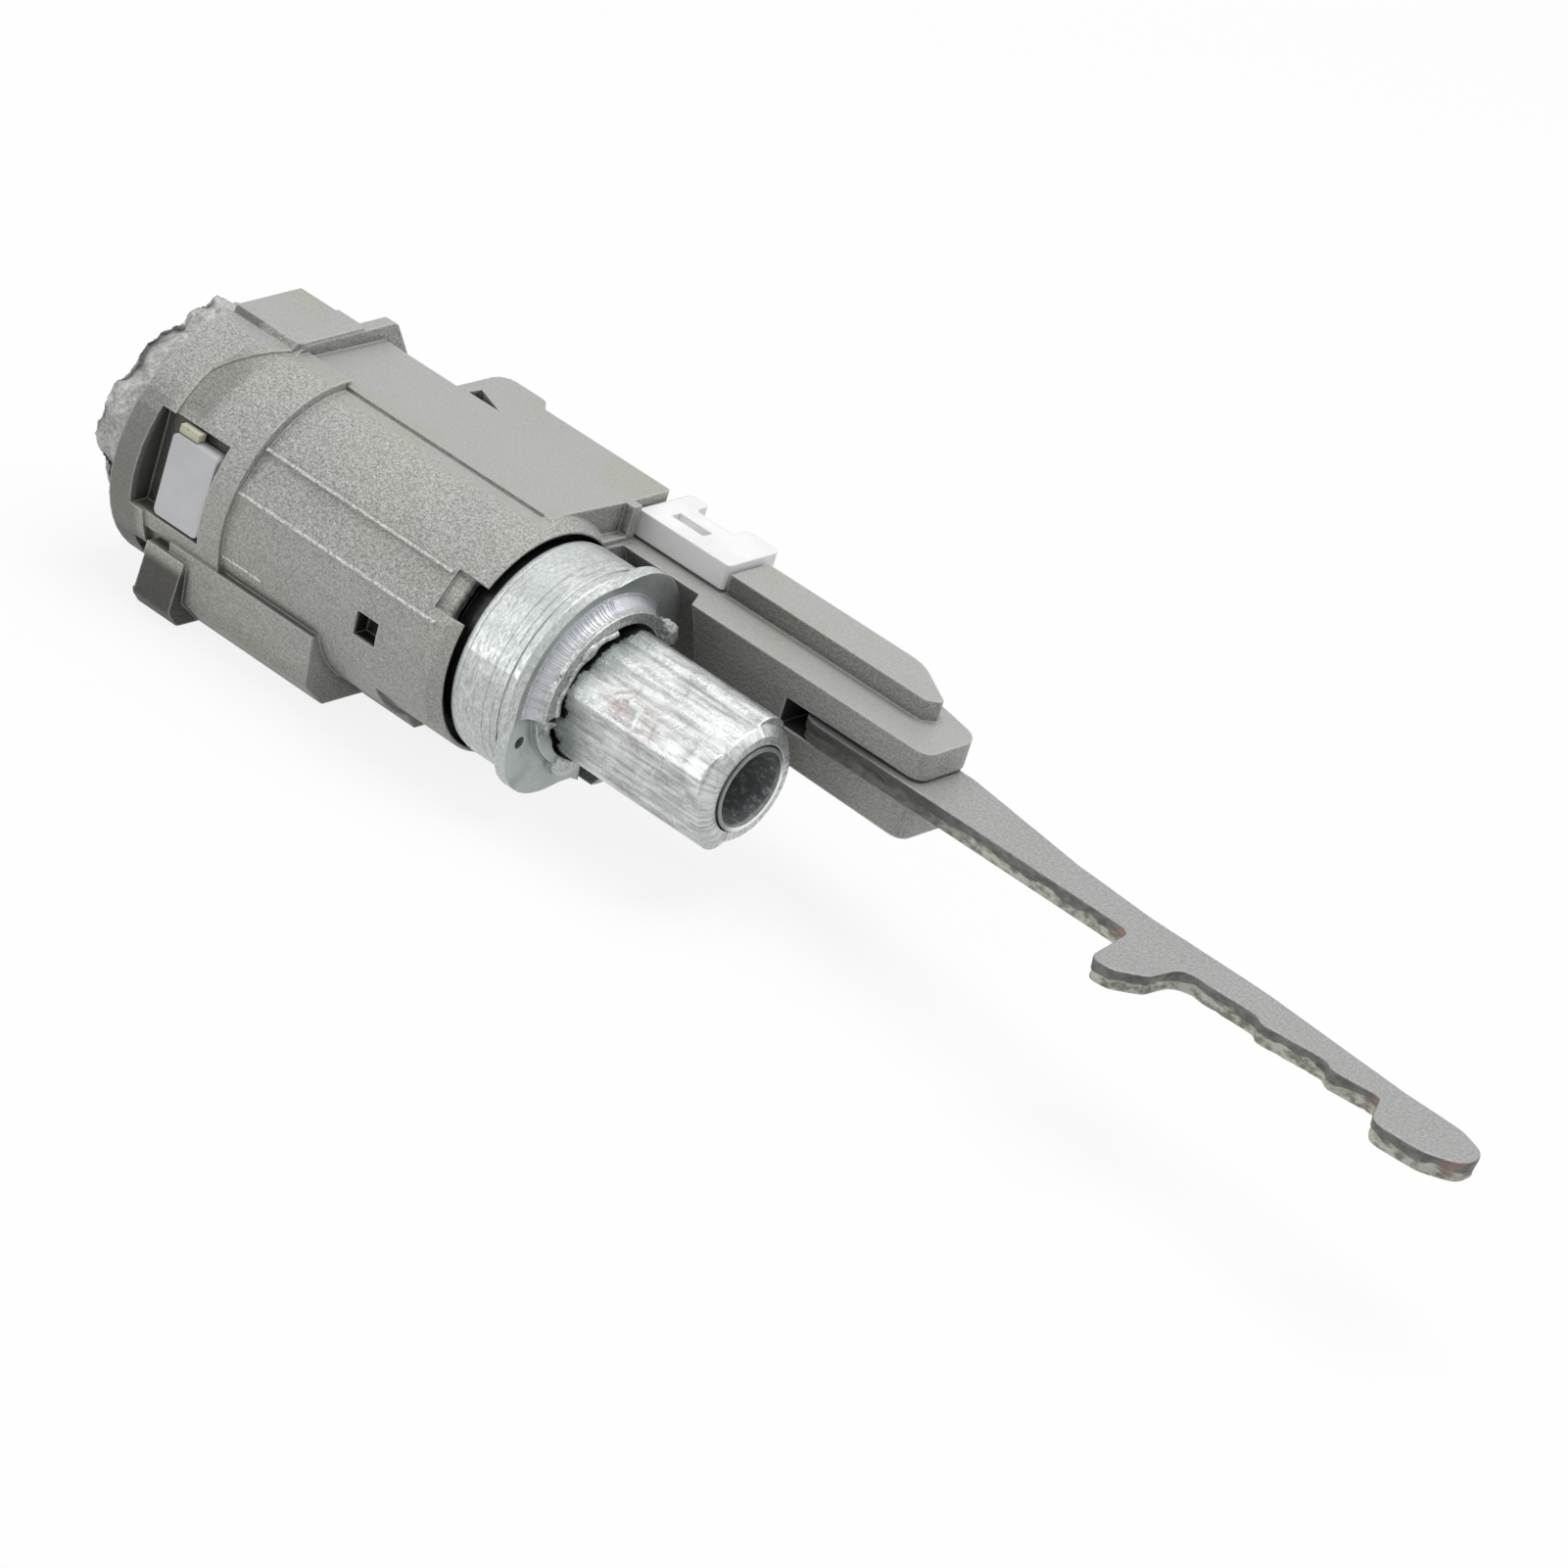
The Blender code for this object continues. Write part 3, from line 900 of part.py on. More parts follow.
def build_ring(parent):
    """The driver ring: a neck in the housing's rim, a ridged drum, cam lobes and a crimped boss round the shaft."""
    hole = SHAFT_RADIUS + GAP
    inner = shaft_collar() + GAP
    drum = RING_RADIUS - RING_RIDGE
    land = RING_RADIUS - RING_CHAMFER - RING_LAND
    wall = land - RING_FILLET
    fillet = []
    for i in range(7):
        turn = math.pi / 2 * i / 6
        fillet.append((RING_RIM_X + RING_FILLET * (1 - math.cos(turn)), land - RING_FILLET * math.sin(turn)))
    ring = mesh_object("driver_ring", turned([
        (-RING_NECK_LENGTH, inner), (-RING_NECK_LENGTH, RING_NECK_RADIUS), (0, RING_NECK_RADIUS),
        (0, RING_RADIUS - 0.2 * MM), (0.2 * MM, RING_RADIUS), (RING_RIDGE_X, RING_RADIUS), (RING_RIDGE_X, drum),
        (RING_RIM_X - RING_CHAMFER, drum), (RING_RIM_X, drum - RING_CHAMFER)] + fillet + [
        (RING_CREST_X, wall), (RING_CREST_X, hole), (0, hole), (0, inner)]), parent)
    for number, (angle, share, spread, front, rear) in enumerate(RING_LOBES):
        join(ring, along_x(lobe_outline(angle, share * RING_LOBE, spread), front, rear), f"lobe_{number + 1}")
    low_wall = inner - GAP
    around = RING_BOSS_START + 360
    cut(ring, sector([(RING_RIM_X, low_wall), (RING_CREST_X + 1 * MM, low_wall), (RING_CREST_X + 1 * MM, RING_RADIUS),
                      (RING_RIM_X, RING_RADIUS)], RING_BOSS_END, around), "flat_land")
    cut(ring, sector([(RING_LOW_BOSS_X, hole - RING_LOW_BOSS), (RING_LOW_BOSS_X, RING_RADIUS),
                      (RING_CREST_X + 1 * MM, RING_RADIUS), (RING_CREST_X + 1 * MM, hole - RING_LOW_BOSS)],
                     RING_BOSS_END + 6, around - 5), "low_boss")
    floor = RING_RIM_X - RING_POCKET_DEPTH
    outer = RING_RADIUS + RING_LOBE - RING_POCKET_WALL
    cut(ring, sector([(floor, low_wall + RING_LAND), (RING_CREST_X, low_wall + RING_LAND), (RING_CREST_X, outer),
                      (floor, outer)], RING_POCKET_START, RING_POCKET_END), "pocket")
    for number, (angle, radius, outside) in enumerate(RING_STAKES):
        turn = math.radians(angle)
        reach = hole + outside
        join(ring, dome(radius, RING_RIM_X, reach * math.cos(turn), reach * math.sin(turn)), f"stake_{number + 1}")
    tip = math.radians(RING_BOSS_END - 2)
    lower = math.radians(RING_BOSS_END + 16)
    notch = [(0.96 * wall * math.cos(tip), 0.96 * wall * math.sin(tip)),
             (0.8 * hole * math.cos(tip - 0.05), 0.8 * hole * math.sin(tip - 0.05)),
             (0.8 * hole * math.cos(lower), 0.8 * hole * math.sin(lower))]
    cut(ring, along_x(notch, RING_RIM_X - 1.0 * MM, RING_CREST_X + 1 * MM), "crimp_notch")
    cut(ring, cylinder_x(hole, -1 * MM, RING_CREST_X + 3 * MM, steps=48), "hole")
    turn = math.radians(RING_CRESCENT_ANGLE)
    cut(ring, cylinder_x(hole, RING_RIM_X - 2 * MM, RING_CREST_X + 2 * MM, RING_CRESCENT * math.cos(turn),
                         RING_CRESCENT * math.sin(turn), 44), "crescent")
    slots = [along_x(rib_outline(angle, GAP), -1 * MM, RING_CREST_X + 3 * MM) for angle in SHAFT_RIB_ANGLES]
    cut(ring, merged(slots), "rib_slots")
    turn = math.radians(RING_HOLE_ANGLE)
    reach = RING_RADIUS - RING_HOLE_INSET
    cut(ring, cylinder_x(RING_HOLE_RADIUS, RING_RIM_X - 3 * MM, RING_RIM_X + 1 * MM, reach * math.cos(turn),
                         reach * math.sin(turn), 16), "small_hole")
    paint(ring, *BRIGHT_ZINC)
    return ring


def build_all():
    for obj in list(bpy.data.objects):
        bpy.data.objects.remove(obj, do_unlink=True)
    frame = empty("lock_frame", None, (0, 0, 0))
    rotor = empty("rotor_axis", frame, (0, 0, 0))
    build_housing(frame)
    build_pivot_pin(frame)
    build_head(frame)
    build_holder(frame)
    build_slider(frame)
    build_bar(empty("bar_pivot", frame, (PIVOT_X, PIVOT_Y, 0)))
    build_plug(rotor)
    for number in range(WAFER_COUNT):
        build_wafer(number, rotor)
    x, y = shutter_pin_place()
    build_shutter(empty("shutter_hinge", rotor, (x, y, 0)), rotor)
    build_shaft(rotor)
    build_ring(rotor)

    depsgraph = bpy.context.evaluated_depsgraph_get()
    corners = []
    for obj in bpy.context.scene.objects:
        if obj.type == "MESH" and not obj.hide_render:
            shown = obj.evaluated_get(depsgraph)
            corners += [shown.matrix_world @ Vector(c) for c in shown.bound_box]
    low = [min(c[i] for c in corners) for i in range(3)]
    high = [max(c[i] for c in corners) for i in range(3)]
    frame.location = (-(low[0] + high[0]) / 2, -(low[1] + high[1]) / 2, -BASE_Z)
    bpy.context.view_layer.update()


build_all()
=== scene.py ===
"""Looks of a vehicle ignition lock: cast housing, bright driver ring and shaft, long stamped lock bar."""
import json
import math

import bmesh
import bpy
from mathutils import Matrix, Quaternion, Vector, noise


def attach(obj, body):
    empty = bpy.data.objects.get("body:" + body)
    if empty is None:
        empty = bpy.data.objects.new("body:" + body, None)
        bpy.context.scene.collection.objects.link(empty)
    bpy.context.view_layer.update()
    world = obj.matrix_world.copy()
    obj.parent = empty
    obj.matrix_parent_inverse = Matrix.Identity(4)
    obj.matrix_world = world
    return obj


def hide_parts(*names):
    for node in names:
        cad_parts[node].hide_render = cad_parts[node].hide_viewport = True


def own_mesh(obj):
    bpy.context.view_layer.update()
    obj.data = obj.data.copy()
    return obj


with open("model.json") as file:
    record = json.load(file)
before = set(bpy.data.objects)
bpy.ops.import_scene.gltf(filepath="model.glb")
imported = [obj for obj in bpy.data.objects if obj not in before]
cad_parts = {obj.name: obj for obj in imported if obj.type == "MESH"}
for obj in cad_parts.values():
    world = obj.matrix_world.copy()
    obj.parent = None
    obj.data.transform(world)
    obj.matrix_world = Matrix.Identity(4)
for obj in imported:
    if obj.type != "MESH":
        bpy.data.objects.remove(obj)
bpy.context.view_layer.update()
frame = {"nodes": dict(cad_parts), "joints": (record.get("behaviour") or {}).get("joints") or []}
nodes = frame["nodes"]

MM = 0.001
DEGREE = math.radians(1)

# The rotor's axis runs along X through this point, which lies in the plane of the ring's front edge
AXIS = Vector(next(j["pos_m"] for j in frame["joints"] if j["name"] == "rotor_turn"))

# Corners closer than this are one corner, in a copy of a solid and in a mesh of the scene's own
SAME_IN_SOLID = 1e-6
SAME_IN_PIECE = 1e-7


def place(x, y, z):
    """A point given in millimetres from the ring's front edge on the rotor's axis."""
    return AXIS + Vector((x, y, z)) * MM


class NodeTree:
    """Short ways to add nodes to a tree and to join them."""

    def __init__(self, tree):
        self.tree = tree

    def put(self, socket, value):
        if isinstance(value, bpy.types.NodeSocket):
            self.tree.links.new(value, socket)
        elif isinstance(value, tuple) and len(value) == 3 and socket.type == "RGBA":
            socket.default_value = (*value, 1.0)
        else:
            socket.default_value = value

    def add(self, kind, inputs=None, **settings):
        made = self.tree.nodes.new(kind)
        for name, value in settings.items():
            setattr(made, name, value)
        for name, value in (inputs or {}).items():
            self.put(made.inputs[name], value)
        return made

    def sums(self, operation, a, b=0.0):
        return self.add("ShaderNodeMath", {0: a, 1: b}, operation=operation).outputs[0]

    def times(self, product, *others):
        for value in others:
            product = self.sums("MULTIPLY", product, value)
        return product

    def plus(self, a, b):
        return self.sums("ADD", a, b)


# Materials

class Finish(NodeTree):
    """A Principled material and short ways to build the pattern that feeds it."""

    def __init__(self, name):
        self.material = bpy.data.materials.new(name)
        self.material.use_nodes = True
        super().__init__(self.material.node_tree)
        self.shader = self.tree.nodes["Principled BSDF"]
        self.shader.inputs["Base Color"].default_value = (0.5, 0.5, 0.5, 1.0)
        self.object_place = self.add("ShaderNodeTexCoord").outputs["Object"]

    def between(self, value, low, high, start=0.0, end=1.0):
        """A smooth change from start at low to end at high; low may be the larger of the two."""
        inputs = {"Value": value, "From Min": low, "From Max": high, "To Min": start, "To Max": end}
        made = self.add("ShaderNodeMapRange", inputs, interpolation_type="SMOOTHSTEP", clamp=True)
        return made.outputs["Result"]

    def band(self, value, edges, unit=MM):
        """1 inside a band of values and 0 outside; its edges say where it starts, is full, fades and ends."""
        start, full, fading, end = (edge * unit for edge in edges)
        return self.times(self.between(value, start, full), self.between(value, end, fading))

    def blend(self, factor, a, b):
        return self.add("ShaderNodeMix", {0: factor, 6: a, 7: b}, data_type="RGBA").outputs[2]

    def tinted(self, base, mask, share, colour):
        """The base turned towards a colour by a share of the mask."""
        return self.blend(self.times(mask, share), base, colour)

    def speckled(self, base, mask, dark, light):
        """The base darkened where the mask is 0 and lightened where it is 1, each by a share and a colour."""
        return self.blend(mask, self.blend(dark[0], base, dark[1]), self.blend(light[0], base, light[1]))

    def stretched(self, scale, about=(0.0, 0.0, 0.0)):
        inputs = {"Vector": self.object_place, "Location": about, "Scale": scale}
        return self.add("ShaderNodeMapping", inputs).outputs["Vector"]

    def noise(self, scale, detail, rough, where=None, twist=0.0):
        inputs = {"Vector": where or self.object_place, "Scale": scale, "Detail": detail, "Roughness": rough,
                  "Distortion": twist}
        return self.add("ShaderNodeTexNoise", inputs).outputs["Fac"]

    def noise_over(self, measures, detail, rough):
        """Noise over three measures, each given with the number that stretches it, or left out as None."""
        inputs = {i: self.times(*measure) for i, measure in enumerate(measures) if measure}
        return self.noise(1.0, detail, rough, self.add("ShaderNodeCombineXYZ", inputs).outputs[0])

    def from_axis(self):
        """Distances from the axis point: along the axis, to the far side and up."""
        moved = self.stretched((1.0, 1.0, 1.0), tuple(-AXIS))
        return tuple(self.add("ShaderNodeSeparateXYZ", {0: moved}).outputs)

    def turned_place(self):
        """Distance along the axis, distance from it and angle round it, which is 0 on the near side."""
        x, y, z = self.from_axis()
        radius = self.sums("SQRT", self.plus(self.times(y, y), self.times(z, z)))
        return x, radius, self.sums("ARCTAN2", z, self.times(y, -1.0))

    def near_point(self, centre, inner, outer):
        """1 within the inner distance of a point, fading to 0 at the outer one."""
        gap = self.add("ShaderNodeVectorMath", {0: self.object_place, 1: tuple(centre)}, operation="DISTANCE")
        return self.between(gap.outputs["Value"], inner, outer, 1.0, 0.0)

    def facing(self, axis):
        normal = self.add("ShaderNodeTexCoord").outputs["Normal"]
        return self.add("ShaderNodeSeparateXYZ", {0: normal}).outputs[axis]

    def soft_edges(self, radius):
        """A normal that rounds the edges, and a mask that is 1 along them."""
        rounded = self.add("ShaderNodeBevel", {"Radius": radius}, samples=6).outputs["Normal"]
        flat = self.add("ShaderNodeNewGeometry").outputs["Normal"]
        same = self.add("ShaderNodeVectorMath", {0: rounded, 1: flat}, operation="DOT_PRODUCT")
        return rounded, self.between(same.outputs["Value"], 0.995, 0.86)

    def crevice_shade(self, reach, dark=0.35, open_at=0.85):
        """The mask for painted shade: 1 deep in a corner or recess of the piece, 0 where it is open."""
        seen = self.add("ShaderNodeAmbientOcclusion", {"Distance": reach}, samples=5, only_local=True)
        return self.between(seen.outputs["AO"], open_at, dark)

    def bump(self, height, strength, distance, normal=None):
        inputs = {"Height": height, "Strength": strength, "Distance": distance}
        if normal is not None:
            inputs["Normal"] = normal
        return self.add("ShaderNodeBump", inputs).outputs["Normal"]

    def finish(self, colour, roughness, normal, metallic=0.0):
        values = {"Base Color": colour, "Roughness": roughness, "Normal": normal, "Metallic": metallic}
        for name, value in values.items():
            self.put(self.shader.inputs[name], value)
        return self.material


# Places of the casting with painted shade, as bands in millimetres along the axis, to the far side and up, or
# in degrees
RIM_GAP_ALONG = (-3.5, -3.15, -0.95, -0.7)
HOLLOW_ALONG = (-36.8, -36.2, -34.4, -33.1)
HOLLOW_ANGLE = (28, 36, 58, 78)
POCKET_ALONG = (-11.5, -11.4, -8.8, -8.7)
POCKET_UP = (-2.4, -2.3, 0.1, 0.2)
WINDOW_ALONG = (-38.6, -38.45, -30.15, -30.0)
WINDOW_UP = (-3.75, -3.65, 6.05, 6.15)
SLOT_FAR = (7.02, 7.3, 15.0, 15.4)
SLOT_UP = (2.6, 2.8, 5.3, 5.5)


def shade_recesses(made, body, facing_up):
    """The casting's colour with painted shade on its arm flank, hollow, low side, foot, flange back, corners,
    pocket, window and slot.
    """
    x, radius, angle = made.turned_place()
    far, up = made.from_axis()[1:]
    # Painted shade on the arm's flank that faces the near side, darkest towards the ring
    flank = made.times(made.between(made.facing(1), -0.55, -0.9), made.between(x, -1.5 * MM, 0.5 * MM),
                       made.between(x, 34.0 * MM, 6.0 * MM, 0.22, 0.85))
    body = made.blend(flank, body, (0.080, 0.080, 0.074))
    # Painted shade in the hollow along the flange's edge above the window
    hollow = made.times(made.band(x, HOLLOW_ALONG), made.band(angle, HOLLOW_ANGLE, DEGREE))
    body = made.tinted(body, hollow, 0.5, (0.13, 0.13, 0.11))
    # Painted shade: darker towards the bottom of the casting
    body = made.tinted(body, made.between(up, -7.5 * MM, -11.0 * MM), 0.3, (0.105, 0.105, 0.095))
    # Painted shade on the foot at the key end
    foot = made.times(made.between(up, -6.3 * MM, -7.6 * MM), made.between(x, -30.5 * MM, -30.9 * MM))
    body = made.tinted(body, foot, 0.92, (0.036, 0.034, 0.030))
    # Painted shade on the faces next to the flange that do not face up
    behind = made.times(made.between(x, -36.9 * MM, -38.2 * MM), made.between(facing_up, 0.75, 0.35))
    body = made.tinted(body, behind, 0.72, (0.115, 0.115, 0.10))
    # Painted shade in corners and recesses
    body = made.tinted(body, made.crevice_shade(1.3 * MM), 0.75, (0.045, 0.045, 0.040))
    # Painted shade in the small pocket, weaker on the lit part of its floor
    lit = made.times(made.between(x, -10.4 * MM, -10.0 * MM), made.between(up, -1.1 * MM, -0.7 * MM))
    pocket = made.times(made.band(x, POCKET_ALONG), made.band(up, POCKET_UP),
                        made.between(radius, 11.35 * MM, 11.1 * MM), made.between(lit, 0.0, 1.0, 0.97, 0.55))
    body = made.blend(pocket, body, (0.015, 0.015, 0.012))
    # Painted shade in the window on the near side
    window = made.times(made.band(x, WINDOW_ALONG), made.band(up, WINDOW_UP),
                        made.between(radius, 12.0 * MM, 11.4 * MM), made.between(far, -1.0 * MM, -2.0 * MM))
    body = made.tinted(body, window, 0.72, (0.045, 0.045, 0.037))
    # Painted shade in the arm's slot, strongest nearer the ring
    slot = made.times(made.band(up, SLOT_UP), made.band(far, SLOT_FAR), made.between(x, 21.1 * MM, 21.2 * MM),
                      made.between(x, 36.4 * MM, 28.0 * MM, 0.35, 0.9))
    return made.blend(slot, body, (0.018, 0.018, 0.016))


def cast_zinc():
    """Sand-textured grey casting with olive stains, painted glints, edges lightened as rubbed wear and
    painted highlight, and painted shade in its recesses and rim gap.
    """
    made = Finish("cast_zinc")
    rounded, edge = made.soft_edges(0.32 * MM)
    x, radius = made.turned_place()[:2]
    facing_up = made.facing(2)
    sand = made.noise(6900.0, 3.0, 0.62)
    grit = made.noise(3300.0, 2.0, 0.5)
    cloud = made.noise(110.0, 3.0, 0.5, twist=0.4)
    stain = made.between(made.noise(75.0, 2.0, 0.55), 0.45, 0.60)
    smooth_top = made.between(facing_up, 0.97, 0.995)
    curved = made.times(made.between(facing_up, 0.2, 0.5), made.between(smooth_top, 0.0, 1.0, 1.0, 0.0))
    light = made.blend(cloud, (0.285, 0.286, 0.270), (0.350, 0.351, 0.336))
    top = made.blend(cloud, (0.345, 0.347, 0.335), (0.375, 0.377, 0.372))
    light = made.blend(smooth_top, light, top)
    light = made.tinted(light, stain, 0.5, (0.335, 0.335, 0.268))
    grains = made.between(made.plus(made.times(sand, 0.66), made.times(grit, 0.34)), 0.37, 0.63)
    dark = made.blend(0.55, light, (0.085, 0.085, 0.078))
    bright = made.blend(0.42, light, (0.86, 0.86, 0.85))
    contrast = made.plus(made.between(smooth_top, 0.0, 1.0, 0.46, 0.18), made.times(curved, 0.24))
    body = made.blend(contrast, light, made.blend(grains, dark, bright))
    # Painted glints: bright grains standing in for the sparkle of light on the sand
    glint = made.times(made.between(sand, 0.64, 0.70), contrast)
    body = made.tinted(body, glint, 0.8, (0.92, 0.92, 0.91))
    body = shade_recesses(made, body, facing_up)
    # Lighter along the edges: partly rubbed wear, partly a painted highlight
    body = made.tinted(body, edge, 0.5, (0.76, 0.76, 0.74))
    # Painted shade in the gap between the housing's rim and the ring
    rim_gap_shade = made.times(made.between(radius, 10.72 * MM, 10.62 * MM), made.band(x, RIM_GAP_ALONG))
    body = made.blend(rim_gap_shade, body, (0.012, 0.012, 0.012))
    strength = made.between(smooth_top, 0.0, 1.0, 0.95, 0.20)
    normal = made.bump(made.plus(sand, made.times(grit, 2.0)), strength, 0.08 * MM, rounded)
    return made.finish(body, made.between(sand, 0.3, 0.7, 0.62, 0.40), normal, metallic=0.22)


def rubbed_zinc():
    """The casting's raised mould lines, rubbed bright."""
    made = Finish("rubbed_zinc")
    sand = made.noise(4200.0, 3.0, 0.6)
    base = made.blend(made.between(sand, 0.36, 0.62), (0.30, 0.30, 0.28), (0.62, 0.62, 0.60))
    rough = made.between(sand, 0.3, 0.7, 0.5, 0.34)
    return made.finish(base, rough, made.bump(sand, 0.5, 0.05 * MM), metallic=0.3)


# Lines scored round the drum, in millimetres along the axis, and the hollow round the boss, from the axis
SCORED_LINES = (3.3, 4.3)
RING_HOLLOW = (7.95, 8.2, 9.25, 9.45)


def ring_zinc():
    """Bright zinc of the ring: fine turning marks, a lavender hollow with painted shade, greenish flats and a
    grainy crest.
    """
    made = Finish("ring_zinc")
    rounded, edge = made.soft_edges(0.2 * MM)
    x, radius, angle = made.turned_place()
    turning = made.noise_over(((x, 5200.0), (radius, 5200.0), (angle, 16.0)), 3.0, 0.62)
    speckle = made.noise(3000.0, 3.0, 0.7)
    cloud = made.noise(230.0, 3.0, 0.55, twist=0.5)
    base = made.blend(made.between(turning, 0.32, 0.68), (0.39, 0.405, 0.405), (0.63, 0.655, 0.65))
    base = made.tinted(base, made.between(cloud, 0.4, 0.65), 0.6, (0.49, 0.545, 0.525))
    for mark in SCORED_LINES:
        line = made.sums("ABSOLUTE", made.sums("SUBTRACT", x, mark * MM))
        line = made.times(made.between(line, 0.14 * MM, 0.05 * MM), made.between(cloud, 0.35, 0.55))
        base = made.tinted(base, line, 0.6, (0.20, 0.21, 0.21))
    fine = made.between(speckle, 0.36, 0.66)
    base = made.speckled(base, fine, (0.16, (0.12, 0.12, 0.12)), (0.12, (0.9, 0.92, 0.92)))
    ribs = made.noise_over((None, (radius, 40.0), (angle, 70.0)), 1.0, 0.4)
    # Painted shade across the hollow: darkest at its outer rim, lighter towards the boss
    lavender = made.blend(made.between(radius, 9.3 * MM, 8.2 * MM), (0.235, 0.245, 0.31), (0.52, 0.53, 0.585))
    lavender = made.tinted(lavender, made.between(ribs, 0.4, 0.62), 0.3, (0.70, 0.71, 0.74))
    hollow = made.times(made.band(radius, RING_HOLLOW), made.between(x, 6.42 * MM, 6.6 * MM))
    base = made.tinted(base, hollow, 0.85, lavender)
    green = made.blend(made.between(cloud, 0.35, 0.65), (0.30, 0.335, 0.32), (0.44, 0.485, 0.465))
    flat = made.times(made.between(made.facing(0), 0.93, 0.99), made.between(x, 7.6 * MM, 7.3 * MM))
    base = made.tinted(base, flat, 0.85, green)
    grainy = made.blend(made.between(speckle, 0.38, 0.62), (0.25, 0.255, 0.25), (0.62, 0.63, 0.62))
    base = made.tinted(base, made.between(x, 7.7 * MM, 8.0 * MM), 0.6, grainy)
    # Lighter along the edges: partly rubbed wear, partly a painted highlight
    base = made.tinted(base, edge, 0.5, (0.80, 0.82, 0.82))
    # Painted shade on the neck, and on the rear edge where it reaches into the housing's rim
    neck = made.times(made.between(x, 0.05 * MM, -0.1 * MM), made.between(radius, 10.25 * MM, 10.0 * MM))
    neck = made.sums("MAXIMUM", neck, made.between(x, -0.35 * MM, -0.75 * MM))
    base = made.blend(neck, base, (0.03, 0.03, 0.03))
    # Painted shade on a patch of the ring's lower far side, below the shaft
    pocket = made.times(made.near_point(place(4.6, 5.0, -8.2), 1.9 * MM, 2.6 * MM),
                        made.between(x, 6.35 * MM, 6.1 * MM), made.between(radius, 11.0 * MM, 10.8 * MM))
    base = made.blend(pocket, base, (0.035, 0.035, 0.03))
    # Painted shade in the gap between the boss and the shaft
    gap = made.times(made.between(radius, 6.35 * MM, 6.1 * MM), made.between(x, 8.35 * MM, 8.1 * MM))
    base = made.blend(gap, base, (0.02, 0.02, 0.02))
    # Painted shade in corners and recesses
    base = made.tinted(base, made.crevice_shade(0.9 * MM), 0.55, (0.06, 0.062, 0.06))
    drum = made.between(radius, 10.0 * MM, 10.25 * MM)
    height = made.plus(made.times(turning, made.between(drum, 0.0, 1.0, 0.3, 1.0)), speckle)
    normal = made.bump(height, 0.35, 0.05 * MM, rounded)
    return made.finish(base, made.between(turning, 0.3, 0.7, 0.46, 0.30), normal, metallic=0.6)


# Brown patches on the shaft, each with its reach in millimetres
BROWN_PATCHES = ((place(13.4, -4.9, 3.1), 2.2), (place(16.6, -5.1, 2.7), 2.5))
# The degrees over which the ring's boss hides the shaft's root
BOSS_ANGLE = (-14, -8, 130, 136)


def shaft_zinc():
    """Bright drawn zinc of the shaft, streaked along its length, with brown patches, darker and greener
    towards its root, painted shade where it enters the boss and inside its bore.
    """
    made = Finish("shaft_zinc")
    rounded, edge = made.soft_edges(0.25 * MM)
    x, radius, angle = made.turned_place()
    streak = made.noise_over(((x, 120.0), None, (angle, 9.0)), 4.0, 0.65)
    scratch = made.noise_over(((x, 520.0), None, (angle, 60.0)), 3.0, 0.7)
    fine = made.noise(2900.0, 3.0, 0.7)
    cloud = made.noise(300.0, 3.0, 0.6, twist=0.8)
    blot = made.noise(560.0, 3.0, 0.65, twist=1.2)
    clouded = made.blend(made.between(cloud, 0.36, 0.64), (0.36, 0.385, 0.38), (0.70, 0.715, 0.71))
    base = made.blend(made.between(streak, 0.35, 0.63), (0.28, 0.29, 0.292), (0.77, 0.785, 0.78))
    base = made.blend(0.36, base, clouded)
    base = made.tinted(base, made.between(blot, 0.56, 0.66), 0.35, (0.17, 0.175, 0.175))
    base = made.tinted(base, made.between(blot, 0.42, 0.34), 0.3, (0.90, 0.91, 0.91))
    base = made.tinted(base, made.between(scratch, 0.56, 0.66), 0.45, (0.13, 0.135, 0.13))
    base = made.tinted(base, made.between(scratch, 0.42, 0.32), 0.35, (0.92, 0.93, 0.93))
    base = made.tinted(base, made.between(x, 12.5 * MM, 8.5 * MM), 0.68, (0.20, 0.235, 0.225))
    for where, reach in BROWN_PATCHES:
        patch = made.times(made.near_point(where, 0.5 * MM, reach * MM), made.between(blot, 0.38, 0.60))
        base = made.tinted(base, patch, 0.8, (0.29, 0.205, 0.175))
    # Lighter along the edges: partly rubbed wear, partly a painted highlight
    base = made.tinted(base, edge, 0.45, (0.80, 0.81, 0.81))
    # Painted shade: near black where the shaft runs into the boss, up to a wavy line
    level = made.between(made.band(angle, BOSS_ANGLE, DEGREE), 0.0, 1.0, 7.3 * MM, 8.5 * MM)
    uneven = made.noise_over((None, None, (angle, 5.0)), 3.0, 0.6)
    wobble = made.between(uneven, 0.3, 0.7, -0.3 * MM, 0.35 * MM)
    beyond = made.sums("SUBTRACT", x, made.plus(level, wobble))
    base = made.blend(made.between(beyond, 0.12 * MM, -0.05 * MM), base, (0.022, 0.022, 0.020))
    # Painted shade inside the shaft's bore
    base = made.blend(made.between(radius, 4.3 * MM, 4.1 * MM), base, (0.06, 0.063, 0.066))
    height = made.plus(made.plus(made.plus(streak, fine), made.times(scratch, -0.8)), blot)
    normal = made.bump(height, 0.45, 0.07 * MM, rounded)
    return made.finish(base, made.between(fine, 0.3, 0.7, 0.38, 0.24), normal, metallic=0.7)


